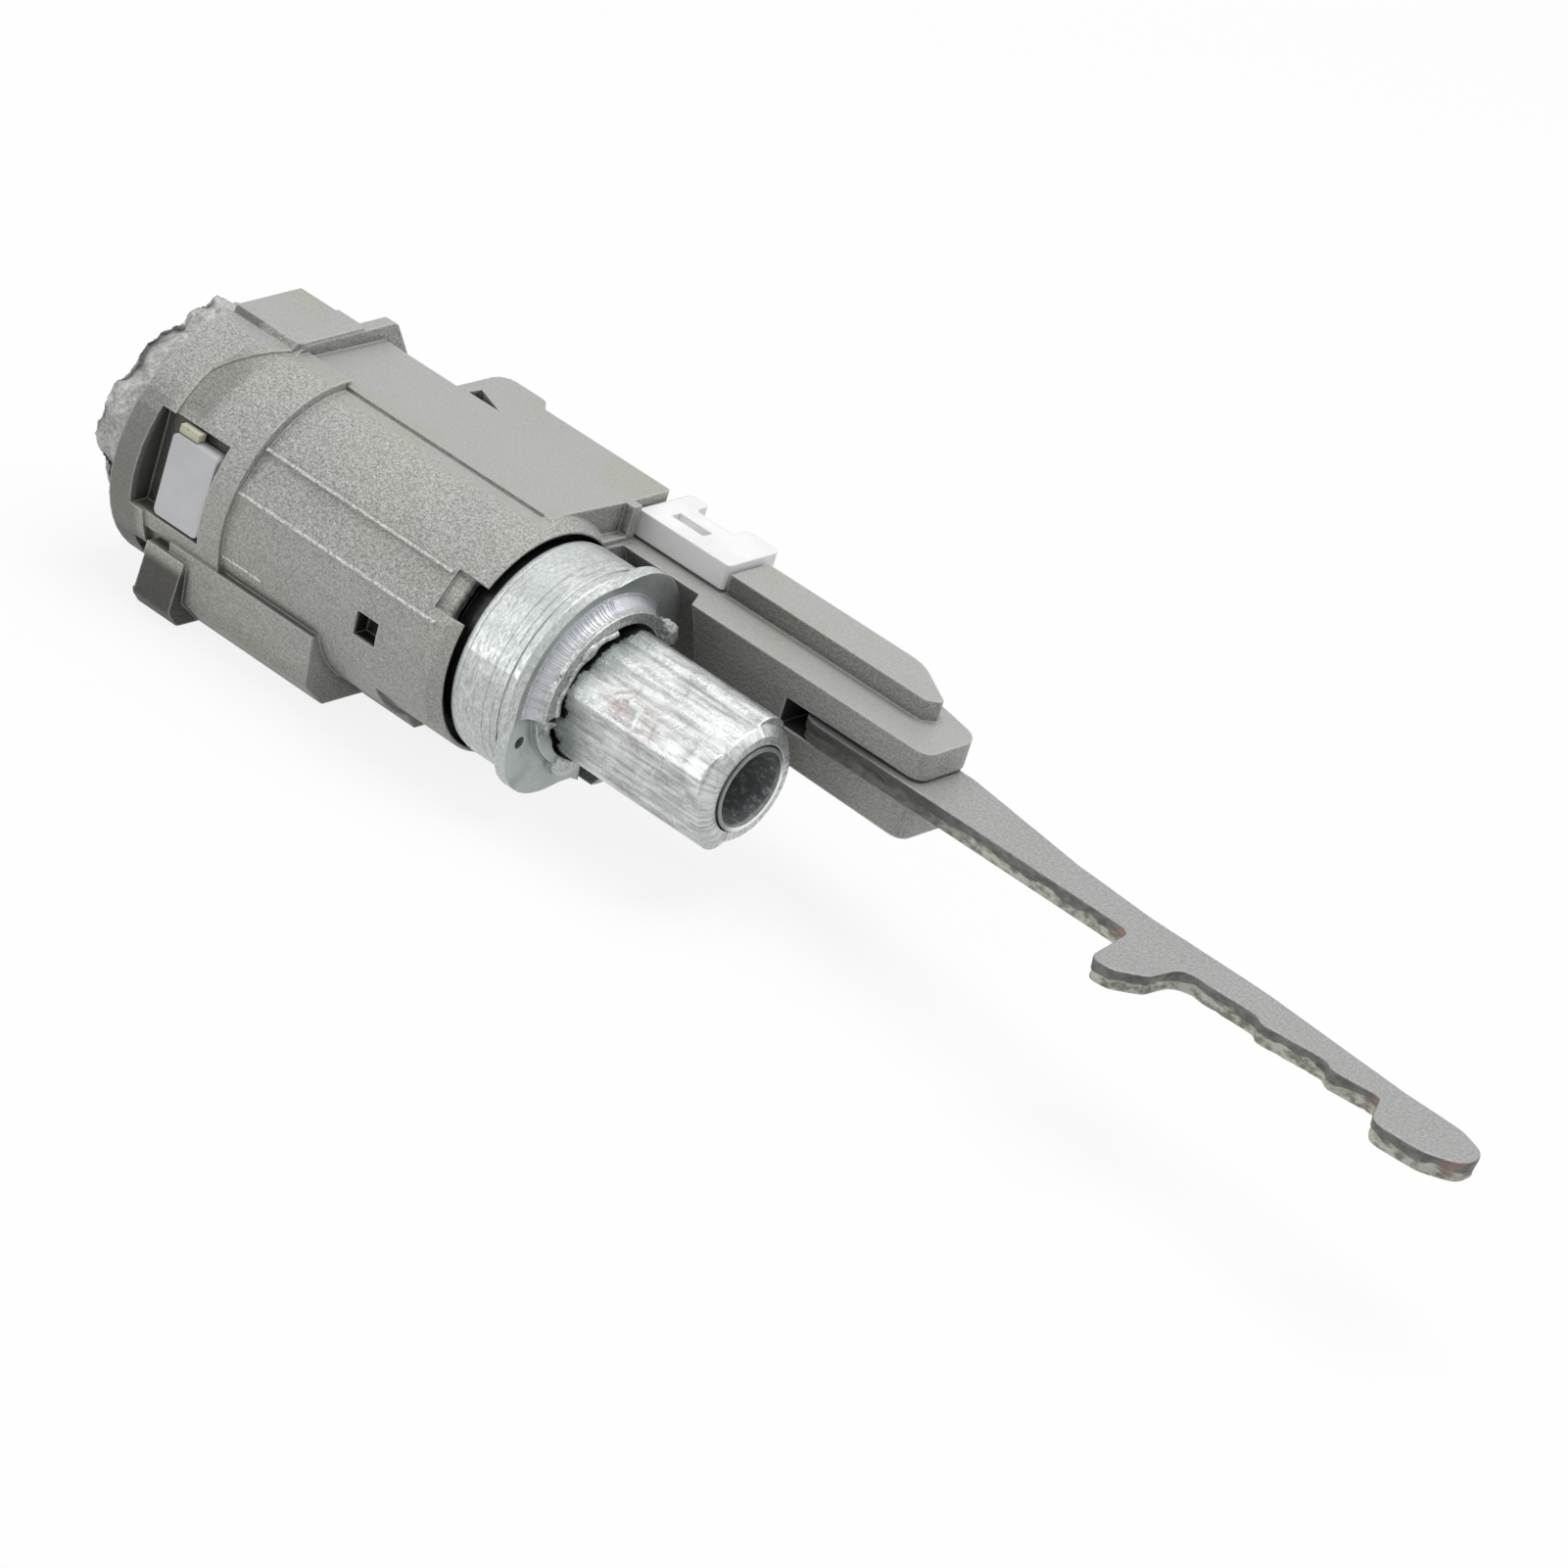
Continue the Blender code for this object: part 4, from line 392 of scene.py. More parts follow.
def liner_steel():
    """Polished sleeve rim with a painted highlight on its lower far side, and a speckled bore with painted
    shade, darker deeper in.
    """
    made = Finish("liner_steel")
    x, radius, angle = made.turned_place()
    speck = made.noise(1700.0, 4.0, 0.78)
    # Painted shade in the bore, darker deeper in
    shade = made.blend(made.between(x, 23.5 * MM, 8.0 * MM), (0.42, 0.43, 0.44), (0.14, 0.145, 0.15))
    bore = made.blend(made.between(speck, 0.50, 0.68), shade, (0.75, 0.77, 0.77))
    # Painted highlight: a bright crescent on the rim's lower far side
    lit = made.sums("COSINE", made.plus(angle, 135 * DEGREE))
    crescent = made.blend(made.between(lit, 0.1, 0.75), (0.26, 0.27, 0.27), (0.90, 0.91, 0.91))
    base = made.blend(made.between(x, 24.6 * MM, 24.95 * MM), bore, crescent)
    normal = made.bump(speck, 0.5, 0.07 * MM)
    return made.finish(base, made.between(speck, 0.3, 0.7, 0.28, 0.55), normal, metallic=0.8)


# Copper tints on the bar's edge: places along the axis and to the far side
COPPER_TINTS = ((60.6, 6.0), (88.6, 5.7), (97.9, 3.4))


def stamped_steel():
    """The lock bar: a smooth grey face, an edge that is sheared dark above and torn below, copper tints,
    painted shade inside the arm.
    """
    made = Finish("stamped_steel")
    rounded, edge = made.soft_edges(0.14 * MM)
    along = made.from_axis()[0]
    fine = made.noise(3600.0, 3.0, 0.7)
    cloud = made.noise(140.0, 3.0, 0.55)
    side = made.between(made.facing(2), 0.75, 0.4)
    torn = made.noise(1.0, 3.0, 0.6, made.stretched((900.0, 900.0, 1700.0)))
    tear = made.between(made.add("ShaderNodeAttribute", attribute_name="tear").outputs["Fac"], 0.35, 0.65)
    face = made.blend(cloud, (0.262, 0.262, 0.258), (0.318, 0.318, 0.314))
    grain = made.between(fine, 0.35, 0.68)
    face = made.speckled(face, grain, (0.16, (0.1, 0.1, 0.1)), (0.14, (0.9, 0.9, 0.9)))
    burnished = made.blend(made.between(torn, 0.3, 0.7), (0.085, 0.085, 0.08), (0.17, 0.17, 0.16))
    ragged = made.blend(made.between(torn, 0.34, 0.62), (0.17, 0.17, 0.14), (0.47, 0.47, 0.41))
    edges = made.blend(tear, burnished, ragged)
    # Painted shade where the bar runs inside the arm: its edges and its face darker
    edges = made.tinted(edges, made.between(along, 44.0 * MM, 38.0 * MM), 0.8, (0.035, 0.035, 0.033))
    face = made.tinted(face, made.between(along, 37.5 * MM, 30.0 * MM), 0.7, (0.05, 0.05, 0.047))
    base = made.blend(side, face, edges)
    copper = 0.0
    for x, y in COPPER_TINTS:
        copper = made.sums("MAXIMUM", copper, made.near_point(place(x, y, 4.6), 0.2 * MM, 1.5 * MM))
    base = made.tinted(base, made.times(copper, side), 0.6, (0.33, 0.21, 0.15))
    # Lighter along the edges: partly rubbed wear, partly a painted highlight
    base = made.tinted(base, edge, 0.35, (0.60, 0.60, 0.59))
    normal = made.bump(made.plus(fine, made.times(torn, side, 2.5)), 0.4, 0.05 * MM, rounded)
    return made.finish(base, made.between(fine, 0.3, 0.7, 0.54, 0.40), normal, metallic=0.25)


def lumpy_zinc():
    """The key collar: pale, uneven zinc with grey blotches and sandy pits."""
    made = Finish("lumpy_zinc")
    fine = made.noise(2900.0, 3.0, 0.7)
    lumps = made.noise(420.0, 3.0, 0.6, twist=0.8)
    base = made.blend(made.between(lumps, 0.38, 0.60), (0.31, 0.315, 0.30), (0.49, 0.495, 0.48))
    pits = made.between(fine, 0.35, 0.66)
    base = made.speckled(base, pits, (0.3, (0.12, 0.12, 0.12)), (0.2, (0.95, 0.95, 0.95)))
    # Painted shade in the collar's hollows
    base = made.tinted(base, made.crevice_shade(1.5 * MM, 0.3, 0.8), 0.6, (0.08, 0.08, 0.075))
    normal = made.bump(made.plus(made.times(lumps, 2.0), fine), 0.4, 0.06 * MM)
    return made.finish(base, made.between(fine, 0.3, 0.7, 0.66, 0.52), normal, metallic=0.12)


def faced_zinc():
    """The plug: grey zinc with turning rings on its face, dull, with painted shade inside the key slot."""
    made = Finish("faced_zinc")
    rounded, edge = made.soft_edges(0.15 * MM)
    radius, angle = made.turned_place()[1:]
    rings = made.noise_over(((radius, 4200.0), None, (angle, 2.0)), 2.0, 0.6)
    fine = made.noise(3000.0, 3.0, 0.65)
    base = made.blend(made.between(rings, 0.35, 0.65), (0.29, 0.295, 0.29), (0.46, 0.465, 0.46))
    base = made.blend(made.between(fine, 0.36, 0.66), made.blend(0.15, base, (0.1, 0.1, 0.1)), base)
    # Lighter along the edges: partly rubbed wear, partly a painted highlight
    base = made.tinted(base, edge, 0.5, (0.68, 0.68, 0.67))
    # Painted shade in the key slot and other hollows
    base = made.tinted(base, made.crevice_shade(1.6 * MM, 0.25, 0.8), 0.75, (0.03, 0.03, 0.03))
    normal = made.bump(made.plus(rings, fine), 0.3, 0.04 * MM, rounded)
    return made.finish(base, made.between(fine, 0.3, 0.7, 0.46, 0.32), normal, metallic=0.55)


def moulded_plastic(name, colour, shade, dirt=0.0):
    """Matte moulded plastic with soft clouds, fine pores and a few specks of dirt."""
    made = Finish(name)
    rounded, edge = made.soft_edges(0.25 * MM)
    cloud = made.noise(210.0, 2.0, 0.5)
    pores = made.noise(3000.0, 2.0, 0.6)
    base = made.blend(made.between(cloud, 0.35, 0.65), shade, colour)
    # Lighter along the edges: partly rubbed wear, partly a painted highlight
    base = made.tinted(base, edge, 0.3, (0.92, 0.92, 0.92))
    specks = made.between(made.noise(900.0, 3.0, 0.7), 0.58, 0.68)
    base = made.tinted(base, specks, dirt, (0.10, 0.095, 0.07))
    made.shader.inputs["Subsurface Weight"].default_value = 0.08
    made.shader.inputs["Subsurface Scale"].default_value = MM
    normal = made.bump(pores, 0.25, 0.03 * MM, rounded)
    return made.finish(base, made.between(pores, 0.3, 0.7, 0.5, 0.38), normal)


def drawn_metal(name, dark, light):
    """Small inner pieces: wafers, springs, pins and the shutter."""
    made = Finish(name)
    fine = made.noise(1.0, 3.0, 0.6, made.stretched((900.0, 3000.0, 3000.0)))
    base = made.blend(made.between(fine, 0.35, 0.65), dark, light)
    rough = made.between(fine, 0.3, 0.7, 0.42, 0.26)
    return made.finish(base, rough, made.bump(fine, 0.3, 0.03 * MM), metallic=0.9)


def dress(material, *names):
    for name in names:
        slots = nodes[name].data.materials
        slots.clear()
        slots.append(material)


def dress_all():
    """Give every CAD node its material, and return those that the scene's own pieces wear too."""
    ring = ring_zinc()
    lumpy = lumpy_zinc()
    steel_bar = stamped_steel()
    wire = drawn_metal("spring_wire", (0.35, 0.35, 0.36), (0.62, 0.62, 0.63))
    dress(cast_zinc(), "lock_housing")
    dress(ring, "driver_ring")
    dress(shaft_zinc(), "output_shaft")
    dress(liner_steel(), "shaft_liner")
    dress(steel_bar, "lock_bar")
    dress(lumpy, "key_collar")
    dress(faced_zinc(), "key_plug")
    dress(moulded_plastic("white_plastic", (0.83, 0.83, 0.83), (0.77, 0.77, 0.77)), "rear_holder")
    dress(moulded_plastic("blue_white_plastic", (0.545, 0.55, 0.565), (0.50, 0.51, 0.53)), "key_slider")
    dress(moulded_plastic("cream_plastic", (0.62, 0.61, 0.50), (0.50, 0.49, 0.36), 0.8), "slider_cap")
    steel = drawn_metal("pin_steel", (0.30, 0.30, 0.30), (0.55, 0.55, 0.55))
    dress(steel, "bar_pivot_pin", "shutter_pin", "dust_shutter")
    dress(wire, "shutter_spring", *[n for n in nodes if n.startswith("wafer_spring_")])
    dress(drawn_metal("wafer_brass", (0.45, 0.32, 0.14), (0.72, 0.56, 0.30)),
          *[n for n in nodes if n.startswith("wafer_") and "spring" not in n])
    return ring, lumpy, steel_bar, wire


# Pieces made by node trees

class Recipe(NodeTree):
    """A Geometry Nodes tree with named sizes, made once into a plain mesh that rides on a body."""

    def __init__(self, name):
        super().__init__(bpy.data.node_groups.new(name, "GeometryNodeTree"))
        self.name = name
        self.tree.interface.new_socket("Geometry", in_out="OUTPUT", socket_type="NodeSocketGeometry")
        self.given = self.tree.nodes.new("NodeGroupInput")
        self.values = {}

    def size(self, name, value, kind="Float"):
        socket = self.tree.interface.new_socket(name, in_out="INPUT", socket_type="NodeSocket" + kind)
        self.values[socket.identifier] = value
        return self.given.outputs[name]

    def random(self, low, high, seed):
        inputs = {2: low, 3: high, 8: seed}
        return self.add("FunctionNodeRandomValue", inputs, data_type="FLOAT").outputs[1]

    def joined(self, x, y=0.0, z=0.0):
        return self.add("ShaderNodeCombineXYZ", {0: x, 1: y, 2: z}).outputs[0]

    def moved(self, offset, start):
        return self.add("ShaderNodeVectorMath", {0: offset, 1: tuple(start)}, operation="ADD").outputs[0]

    def around(self, x, radius, angle):
        """A place about the rotor's axis; the angle is in radians from +Y towards +Z."""
        y = self.times(radius, self.sums("COSINE", angle))
        z = self.times(radius, self.sums("SINE", angle))
        return self.moved(self.joined(x, y, z), AXIS)

    def path(self, steps, place_of):
        """A line of so many points, and each point's share of it, which place_of turns into a place."""
        line = self.add("GeometryNodeCurvePrimitiveLine").outputs[0]
        line = self.add("GeometryNodeResampleCurve", {"Curve": line, "Count": steps}).outputs[0]
        share = self.add("GeometryNodeSplineParameter").outputs["Factor"]
        inputs = {"Geometry": line, "Position": place_of(share)}
        return self.add("GeometryNodeSetPosition", inputs).outputs[0], share

    def swept(self, line, sides, thickness):
        profile = self.add("GeometryNodeCurvePrimitiveCircle", {"Resolution": sides, "Radius": thickness})
        inputs = {"Curve": line, "Profile Curve": profile.outputs[0], "Fill Caps": True}
        return self.add("GeometryNodeCurveToMesh", inputs).outputs[0]

    def bead(self, steps, place_of, thickness, uneven, scale, growth=0.0):
        """An uneven closed bead along a path, with thin ends, which may grow thicker along it."""
        line, share = self.path(steps, place_of)
        lumps = self.add("ShaderNodeTexNoise", {"Scale": scale, "Detail": 2.0}).outputs[0]
        swell = self.plus(1.0, self.times(self.sums("SUBTRACT", lumps, 0.5), uneven))
        ends = self.sums("POWER", self.sums("SINE", self.times(share, math.pi)), 0.25)
        swell = self.times(swell, self.sums("MAXIMUM", ends, 0.15))
        late = self.sums("POWER", share, 2.0)
        swell = self.times(swell, self.plus(1.0, self.times(late, growth)))
        line = self.add("GeometryNodeSetCurveRadius", {"Curve": line, "Radius": swell}).outputs[0]
        return self.swept(line, 8, thickness)

    def merged(self, pieces):
        joint = self.add("GeometryNodeJoinGeometry")
        for piece in pieces:
            self.tree.links.new(piece, joint.inputs[0])
        return joint.outputs[0]

    def set_up(self, modifier):
        modifier.node_group = self.tree
        for identifier, value in self.values.items():
            modifier[identifier] = value

    def make(self, geometry, material, body, slot):
        whole = self.add("GeometryNodeRealizeInstances", {"Geometry": geometry}).outputs[0]
        painted = self.add("GeometryNodeSetMaterial", {"Geometry": whole, "Material": material}).outputs[0]
        out = self.tree.nodes.new("NodeGroupOutput")
        self.tree.links.new(painted, out.inputs[0])
        mesh = mesh_through(bpy.data.meshes.new(self.name + "_helper"), "NODES", self.set_up)
        add_piece(self.name, mesh, body, material)


def mesh_through(mesh, kind, set_up):
    """What one modifier makes of a mesh; set_up gives the modifier its values."""
    helper = bpy.data.objects.new(mesh.name, mesh)
    bpy.context.scene.collection.objects.link(helper)
    set_up(helper.modifiers.new("make", kind))
    shown = helper.evaluated_get(bpy.context.evaluated_depsgraph_get())
    made = bpy.data.meshes.new_from_object(shown)
    helper.modifiers.clear()
    bpy.data.objects.remove(helper)
    return made


def add_piece(name, mesh, body, material):
    """Put a finished mesh in the scene with its faces pointing out, and let it ride on a body."""
    shape = bmesh.new()
    shape.from_mesh(mesh)
    bmesh.ops.remove_doubles(shape, verts=shape.verts, dist=SAME_IN_PIECE)
    bmesh.ops.recalc_face_normals(shape, faces=shape.faces)
    shape.to_mesh(mesh)
    shape.free()
    mesh.name = name
    mesh.shade_smooth()
    mesh.materials.clear()
    mesh.materials.append(material)
    piece = bpy.data.objects.new(name, mesh)
    bpy.context.scene.collection.objects.link(piece)
    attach(piece, body)
    return piece


def as_mesh(shape, name):
    """The shape as a mesh of that name; the shape itself is freed."""
    mesh = bpy.data.meshes.new(name)
    shape.to_mesh(mesh)
    shape.free()
    return mesh


def solid_copy(name):
    """A CAD node's mesh as a shape of its own, with its loose triangles merged."""
    shape = bmesh.new()
    shape.from_mesh(nodes[name].data)
    bmesh.ops.remove_doubles(shape, verts=shape.verts, dist=SAME_IN_SOLID)
    return shape


def bridge(shape, ring, following):
    """A band of faces between two closed rings of corners."""
    for i in range(len(ring)):
        j = (i + 1) % len(ring)
        shape.faces.new((ring[i], ring[j], following[j], following[i]))


# Angle from the far side over the top, distance from the axis, and start and end along it
RIDGES = ((142, 11.5, -27.4, -4.6), (164.5, 11.53, -28.4, -3.4), (196.5, 11.53, -29.3, -22.5))


def parting_ridges(material):
    """Thin raised lines that the mould left along the near side of the housing."""
    recipe = Recipe("parting_ridges")
    thickness = recipe.size("Ridge radius", 0.19 * MM)
    uneven = recipe.size("Unevenness", 0.8)
    beads = []
    for number, (angle, radius, start, end) in enumerate(RIDGES):
        turn = recipe.size(f"Angle {number + 1}", math.radians(angle))
        reach = recipe.size(f"Radius {number + 1}", radius * MM)
        first = recipe.size(f"Start {number + 1}", start * MM)
        length = recipe.size(f"Length {number + 1}", (end - start) * MM)

        def along(share, first=first, length=length, reach=reach, turn=turn):
            return recipe.around(recipe.plus(first, recipe.times(share, length)), reach, turn)

        beads.append(recipe.bead(90, along, thickness, uneven, scale=900.0))
    recipe.make(recipe.merged(beads), material, "housing", "cast_zinc")


def boss_crimp(material):
    """The uneven bead where the ring's boss was pressed in round the shaft, thicker towards the notch."""
    recipe = Recipe("boss_crimp")
    thickness = recipe.size("Bead radius", 0.36 * MM)
    uneven = recipe.size("Unevenness", 1.6)
    growth = recipe.size("Growth", 1.1)
    start = recipe.size("Start angle", math.radians(100))
    sweep = recipe.size("Sweep", math.radians(87))
    reach = recipe.size("Bead place", 6.52 * MM)
    level = recipe.size("Bead height", 8.05 * MM)
    waves = recipe.size("Waves in a turn", 13.0)
    wave_height = recipe.size("Wave height", 0.14 * MM)

    def along(share):
        turn = recipe.plus(start, recipe.times(share, sweep))
        wobble = recipe.times(recipe.sums("SINE", recipe.times(turn, waves)), wave_height)
        return recipe.around(level, recipe.plus(reach, wobble), turn)

    bead = recipe.bead(110, along, thickness, uneven, 1100.0, growth)
    recipe.make(bead, material, "rotor", "bright_zinc")


# The drum's rear edge, turned: place along the axis and distance from it
SKIRT = ((0.3, 9.4), (0.3, 10.30), (0.0, 10.36), (-0.45, 10.36), (-0.65, 10.2), (-0.65, 9.4))
SKIRT_STEPS = 160
SKIRT_SHARP = math.radians(40)


def drum_skirt(material):
    """The drum's thin rear edge, which reaches into the housing's rim."""
    shape = bmesh.new()
    rings = []
    for step in range(SKIRT_STEPS):
        turn = 2.0 * math.pi * step / SKIRT_STEPS
        rings.append([shape.verts.new(place(x, r * math.cos(turn), r * math.sin(turn))) for x, r in SKIRT])
    for ring, following in zip(rings, rings[1:] + rings[:1]):
        bridge(shape, ring, following)
    piece = add_piece("drum_skirt", as_mesh(shape, "drum_skirt"), "rotor", material)
    piece.data.set_sharp_from_angle(angle=SKIRT_SHARP)


# Name, place along the axis, angle, distance from the axis, half sizes along X, outwards and round, and
# roughness
STAKES = (
    ("round_stake", 6.42, 267, 7.65, (0.28, 1.25, 1.25), 0.05),
    ("lens_stake", 8.2, 131, 6.78, (0.42, 0.6, 1.1), 0.06),
    ("grainy_stake", 7.35, 31.5, 8.25, (1.25, 1.0, 1.3), 0.22),
    ("notch_crumb", 6.75, 204, 6.35, (0.7, 0.5, 0.8), 0.25),
)
# A stake below this roughness is smooth and bright, with a dish in its top
SMOOTH_BELOW = 0.1
DISH_DEPTH = 0.35
DISH_STEEPNESS = 2.2
STAKE_GRAIN = 2.6


def punch_marks(smooth_material, rough_material):
    """Four lumps of metal that punches raised on the ring: round, lens-shaped and two grainy ones."""
    for name, x, angle, reach, sizes, uneven in STAKES:
        smooth = uneven < SMOOTH_BELOW
        turn = math.radians(angle)
        out = Vector((0.0, math.cos(turn), math.sin(turn)))
        along = Vector((1.0, 0.0, 0.0))
        sideways = along.cross(out)
        middle = place(x, *(out * reach).yz)
        shape = bmesh.new()
        bmesh.ops.create_icosphere(shape, subdivisions=4, radius=1.0)
        for vertex in shape.verts:
            way = vertex.co.copy()
            lump = 1.0 + uneven * noise.fractal(way * STAKE_GRAIN + Vector((angle, 0.0, 0.0)), 0.8, 2.0, 3)
            dish = DISH_DEPTH * max(0.0, 1.0 - DISH_STEEPNESS * math.hypot(way.y, way.z)) if smooth else 0.0
            local = way * lump
            local.x -= dish * max(0.0, way.x)
            offset = along * local.x * sizes[0] + out * local.y * sizes[1] + sideways * local.z * sizes[2]
            vertex.co = middle + offset * MM
        material = smooth_material if smooth else rough_material
        add_piece(name, as_mesh(shape, name), "rotor", material)


# The hollow's outer land, its rim along the axis and its depth
HOLLOW_LAND = 9.4 * MM
HOLLOW_RIM = 6.4 * MM
HOLLOW_DEPTH = 1.4 * MM
# Where a rib starts in the hollow's quarter turn, and the share of it that the rib crosses
RIB_START = 0.30
RIB_SHARE = 0.66


def hollow_ribs(material):
    """Fine radial ribs in the hollow between the ring's rim and its boss."""
    recipe = Recipe("hollow_ribs")
    count = recipe.size("Rib count", 46, "Int")
    start = recipe.size("Start angle", math.radians(96))
    pitch = recipe.size("Rib pitch", math.radians(1.9))
    thickness = recipe.size("Rib radius", 0.07 * MM)
    seed = recipe.size("Seed", 7, "Int")

    def across(share):
        turn = recipe.times(recipe.plus(RIB_START, recipe.times(share, RIB_SHARE)), math.pi / 2)
        x = recipe.plus(HOLLOW_RIM + HOLLOW_DEPTH, recipe.times(recipe.sums("COSINE", turn), -HOLLOW_DEPTH))
        y = recipe.plus(HOLLOW_LAND, recipe.times(recipe.sums("SINE", turn), -HOLLOW_DEPTH))
        return recipe.joined(x, y)

    rib = recipe.swept(recipe.path(9, across)[0], 6, thickness)
    centres = recipe.add("GeometryNodePoints", {"Count": count, "Position": tuple(AXIS)}).outputs[0]
    index = recipe.add("GeometryNodeInputIndex").outputs[0]
    jitter = recipe.random(-0.35, 0.35, seed)
    angle = recipe.plus(start, recipe.times(recipe.plus(index, jitter), pitch))
    inputs = {"Points": centres, "Instance": rib, "Rotation": recipe.joined(angle)}
    ribs = recipe.add("GeometryNodeInstanceOnPoints", inputs).outputs[0]
    recipe.make(ribs, material, "rotor", "bright_zinc")


# Place along the axis, angle, distance from the axis, spread and number of grains of each patch
CRUMBS = (
    (6.95, 204, 6.35, 0.75, 26),
    (7.9, 31, 8.2, 0.85, 40),
    (7.95, 158, 7.1, 1.0, 30),
    (7.9, 172, 7.2, 0.8, 24),
)
CRUMB_LAYER = 0.18


def staked_crumbs(material):
    """Crumbled metal where the ring was staked: small faceted grains in four patches."""
    recipe = Recipe("staked_crumbs")
    grain = recipe.size("Grain radius", 0.15 * MM)
    seed = recipe.size("Seed", 11, "Int")
    patches = []
    for number, (x, angle, reach, spread, count) in enumerate(CRUMBS):
        turn = math.radians(angle)
        middle = place(x, reach * math.cos(turn), reach * math.sin(turn))
        offsets = []
        for axis, width in enumerate((CRUMB_LAYER, spread, spread)):
            salt = recipe.plus(seed, float(10 * number + axis))
            offsets.append(recipe.random(-width * MM, width * MM, salt))
        where = recipe.moved(recipe.joined(*offsets), middle)
        points = recipe.add("GeometryNodePoints", {"Count": count, "Position": where}).outputs[0]
        stone = recipe.add("GeometryNodeMeshIcoSphere", {"Radius": grain, "Subdivisions": 2}).outputs[0]
        size = recipe.random(0.6, 1.7, recipe.plus(seed, float(10 * number + 5)))
        spin = recipe.random(0.0, 6.0, recipe.plus(seed, float(10 * number + 6)))
        euler = recipe.joined(spin, spin, spin)
        inputs = {"Points": points, "Instance": stone, "Rotation": euler, "Scale": size}
        patches.append(recipe.add("GeometryNodeInstanceOnPoints", inputs).outputs[0])
    recipe.make(recipe.merged(patches), material, "rotor", "bright_zinc")


# Only the collar's outside is lumpy: past this distance from the axis and past this place along it
LUMPY_FROM_RADIUS = 9.0
LUMPY_FROM_ALONG = -41.5
COLLAR_MESH = 0.2 * MM


def lumpy_collar(material):
    """The collar at the key end as it is cast: lumps and dents all round its outside."""

    def set_up(modifier):
        modifier.mode = "VOXEL"
        modifier.voxel_size = COLLAR_MESH

    mesh = mesh_through(as_mesh(solid_copy("key_collar"), "collar_blank"), "REMESH", set_up)
    normals = [v.normal.copy() for v in mesh.vertices]
    for vertex, normal in zip(mesh.vertices, normals):
        local = (vertex.co - AXIS) / MM
        radius = math.hypot(local.y, local.z)
        outwards = min(1.0, max(0.0, (radius - LUMPY_FROM_RADIUS) / 0.6))
        outside = outwards * min(1.0, max(0.0, (LUMPY_FROM_ALONG - local.x) / 0.5))
        broad = noise.fractal(local * 0.42, 1.0, 2.0, 2)
        small = noise.fractal(local * 1.3 + Vector((5.0, 3.0, 1.0)), 1.0, 2.0, 2)
        dent = 0.45 + 0.75 * broad + 0.10 * small
        vertex.co -= normal * max(0.0, dent) * outside * MM
    piece = add_piece("cast_collar", mesh, "housing", material)
    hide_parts("key_collar")


def wafer_springs(material):
    """Copies of the wafers' springs, each with a mesh of its own, riding on the rotor in place of the CAD
    springs.
    """
    for name in sorted(n for n in nodes if n.startswith("wafer_spring_")):
        number = name.rsplit("_", 1)[1]
        coil = add_piece(f"soft_spring_{number}", nodes[name].data.copy(), "rotor", material)
        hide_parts(name)
        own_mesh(coil)


def outlines(name):
    """The closed outlines of a flat node's upper face, the longest first, as lists of points."""
    flat = solid_copy(name)
    links = {}
    for edge in flat.edges:
        ups = [face.normal.z > 0.9 for face in edge.link_faces]
        if len(ups) == 2 and ups[0] != ups[1]:
            for one, other in (edge.verts, reversed(edge.verts)):
                links.setdefault(one.index, []).append(other.index)
    flat.verts.ensure_lookup_table()
    loops = []
    unused = set(links)
    while unused:
        start = min(unused)
        loop, before, now = [start], None, start
        while True:
            following = [v for v in links[now] if v != before]
            before, now = now, following[0]
            if now == start:
                break
            loop.append(now)
        unused -= set(loop)
        loops.append([flat.verts[i].co.copy() for i in loop])
    flat.free()
    loops.sort(key=lambda loop: -sum((a - b).length for a, b in zip(loop, loop[1:] + loop[:1])))
    return loops


def evenly(loop, step):
    """The loop with a point about every step along it."""
    points = []
    for here, there in zip(loop, loop[1:] + loop[:1]):
        count = max(1, round((there - here).length / step))
        points += [here.lerp(there, i / count) for i in range(count)]
    return points


SHEAR_STEP = 0.4 * MM
CORNER_ROUNDS = 4
BAR_THICKNESS = 2.0
# Depth below the face, inset, how much both wander, and how torn the metal is there
SHEAR_ROWS = (
    (0.00, 0.20, 0.00, 0.0),
    (0.05, 0.07, 0.02, 0.0),
    (0.20, 0.02, 0.03, 0.0),
    (0.95, 0.04, 0.42, 0.0),
    (1.12, 0.20, 0.42, 1.0),
    (1.55, 0.24, 0.16, 1.0),
    (1.85, 0.16, 0.14, 1.0),
    (BAR_THICKNESS, 0.28, 0.00, 1.0),
)
# Every row but the last stays above this depth
DEEPEST_INNER_ROW = 1.97
# The edge that faces the near side is chipped between these places along the axis
CHIPPED = (66.5, 87.5)
CHIP_DEPTH = 0.42
# The first rows lie above the chips, and give way by this share only
ROWS_OVER_CHIPS = 3
SHARE_OVER_CHIPS = 0.35


def rounded_outline(loop):
    """The bar's outline in even steps with rounded corners, and the way inward at each of its points."""
    outer = evenly(loop, SHEAR_STEP)
    count = len(outer)
    for _ in range(CORNER_ROUNDS):
        outer = [outer[i] * 0.5 + (outer[i - 1] + outer[(i + 1) % count]) * 0.25 for i in range(count)]
    turning = sum(a.x * b.y - b.x * a.y for a, b in zip(outer, outer[1:] + outer[:1]))
    if turning < 0:
        outer.reverse()
    inward = []
    for i in range(count):
        way = outer[(i + 2) % count] - outer[i - 2]
        inward.append(Vector((-way.y, way.x, 0.0)).normalized())
    return outer, inward


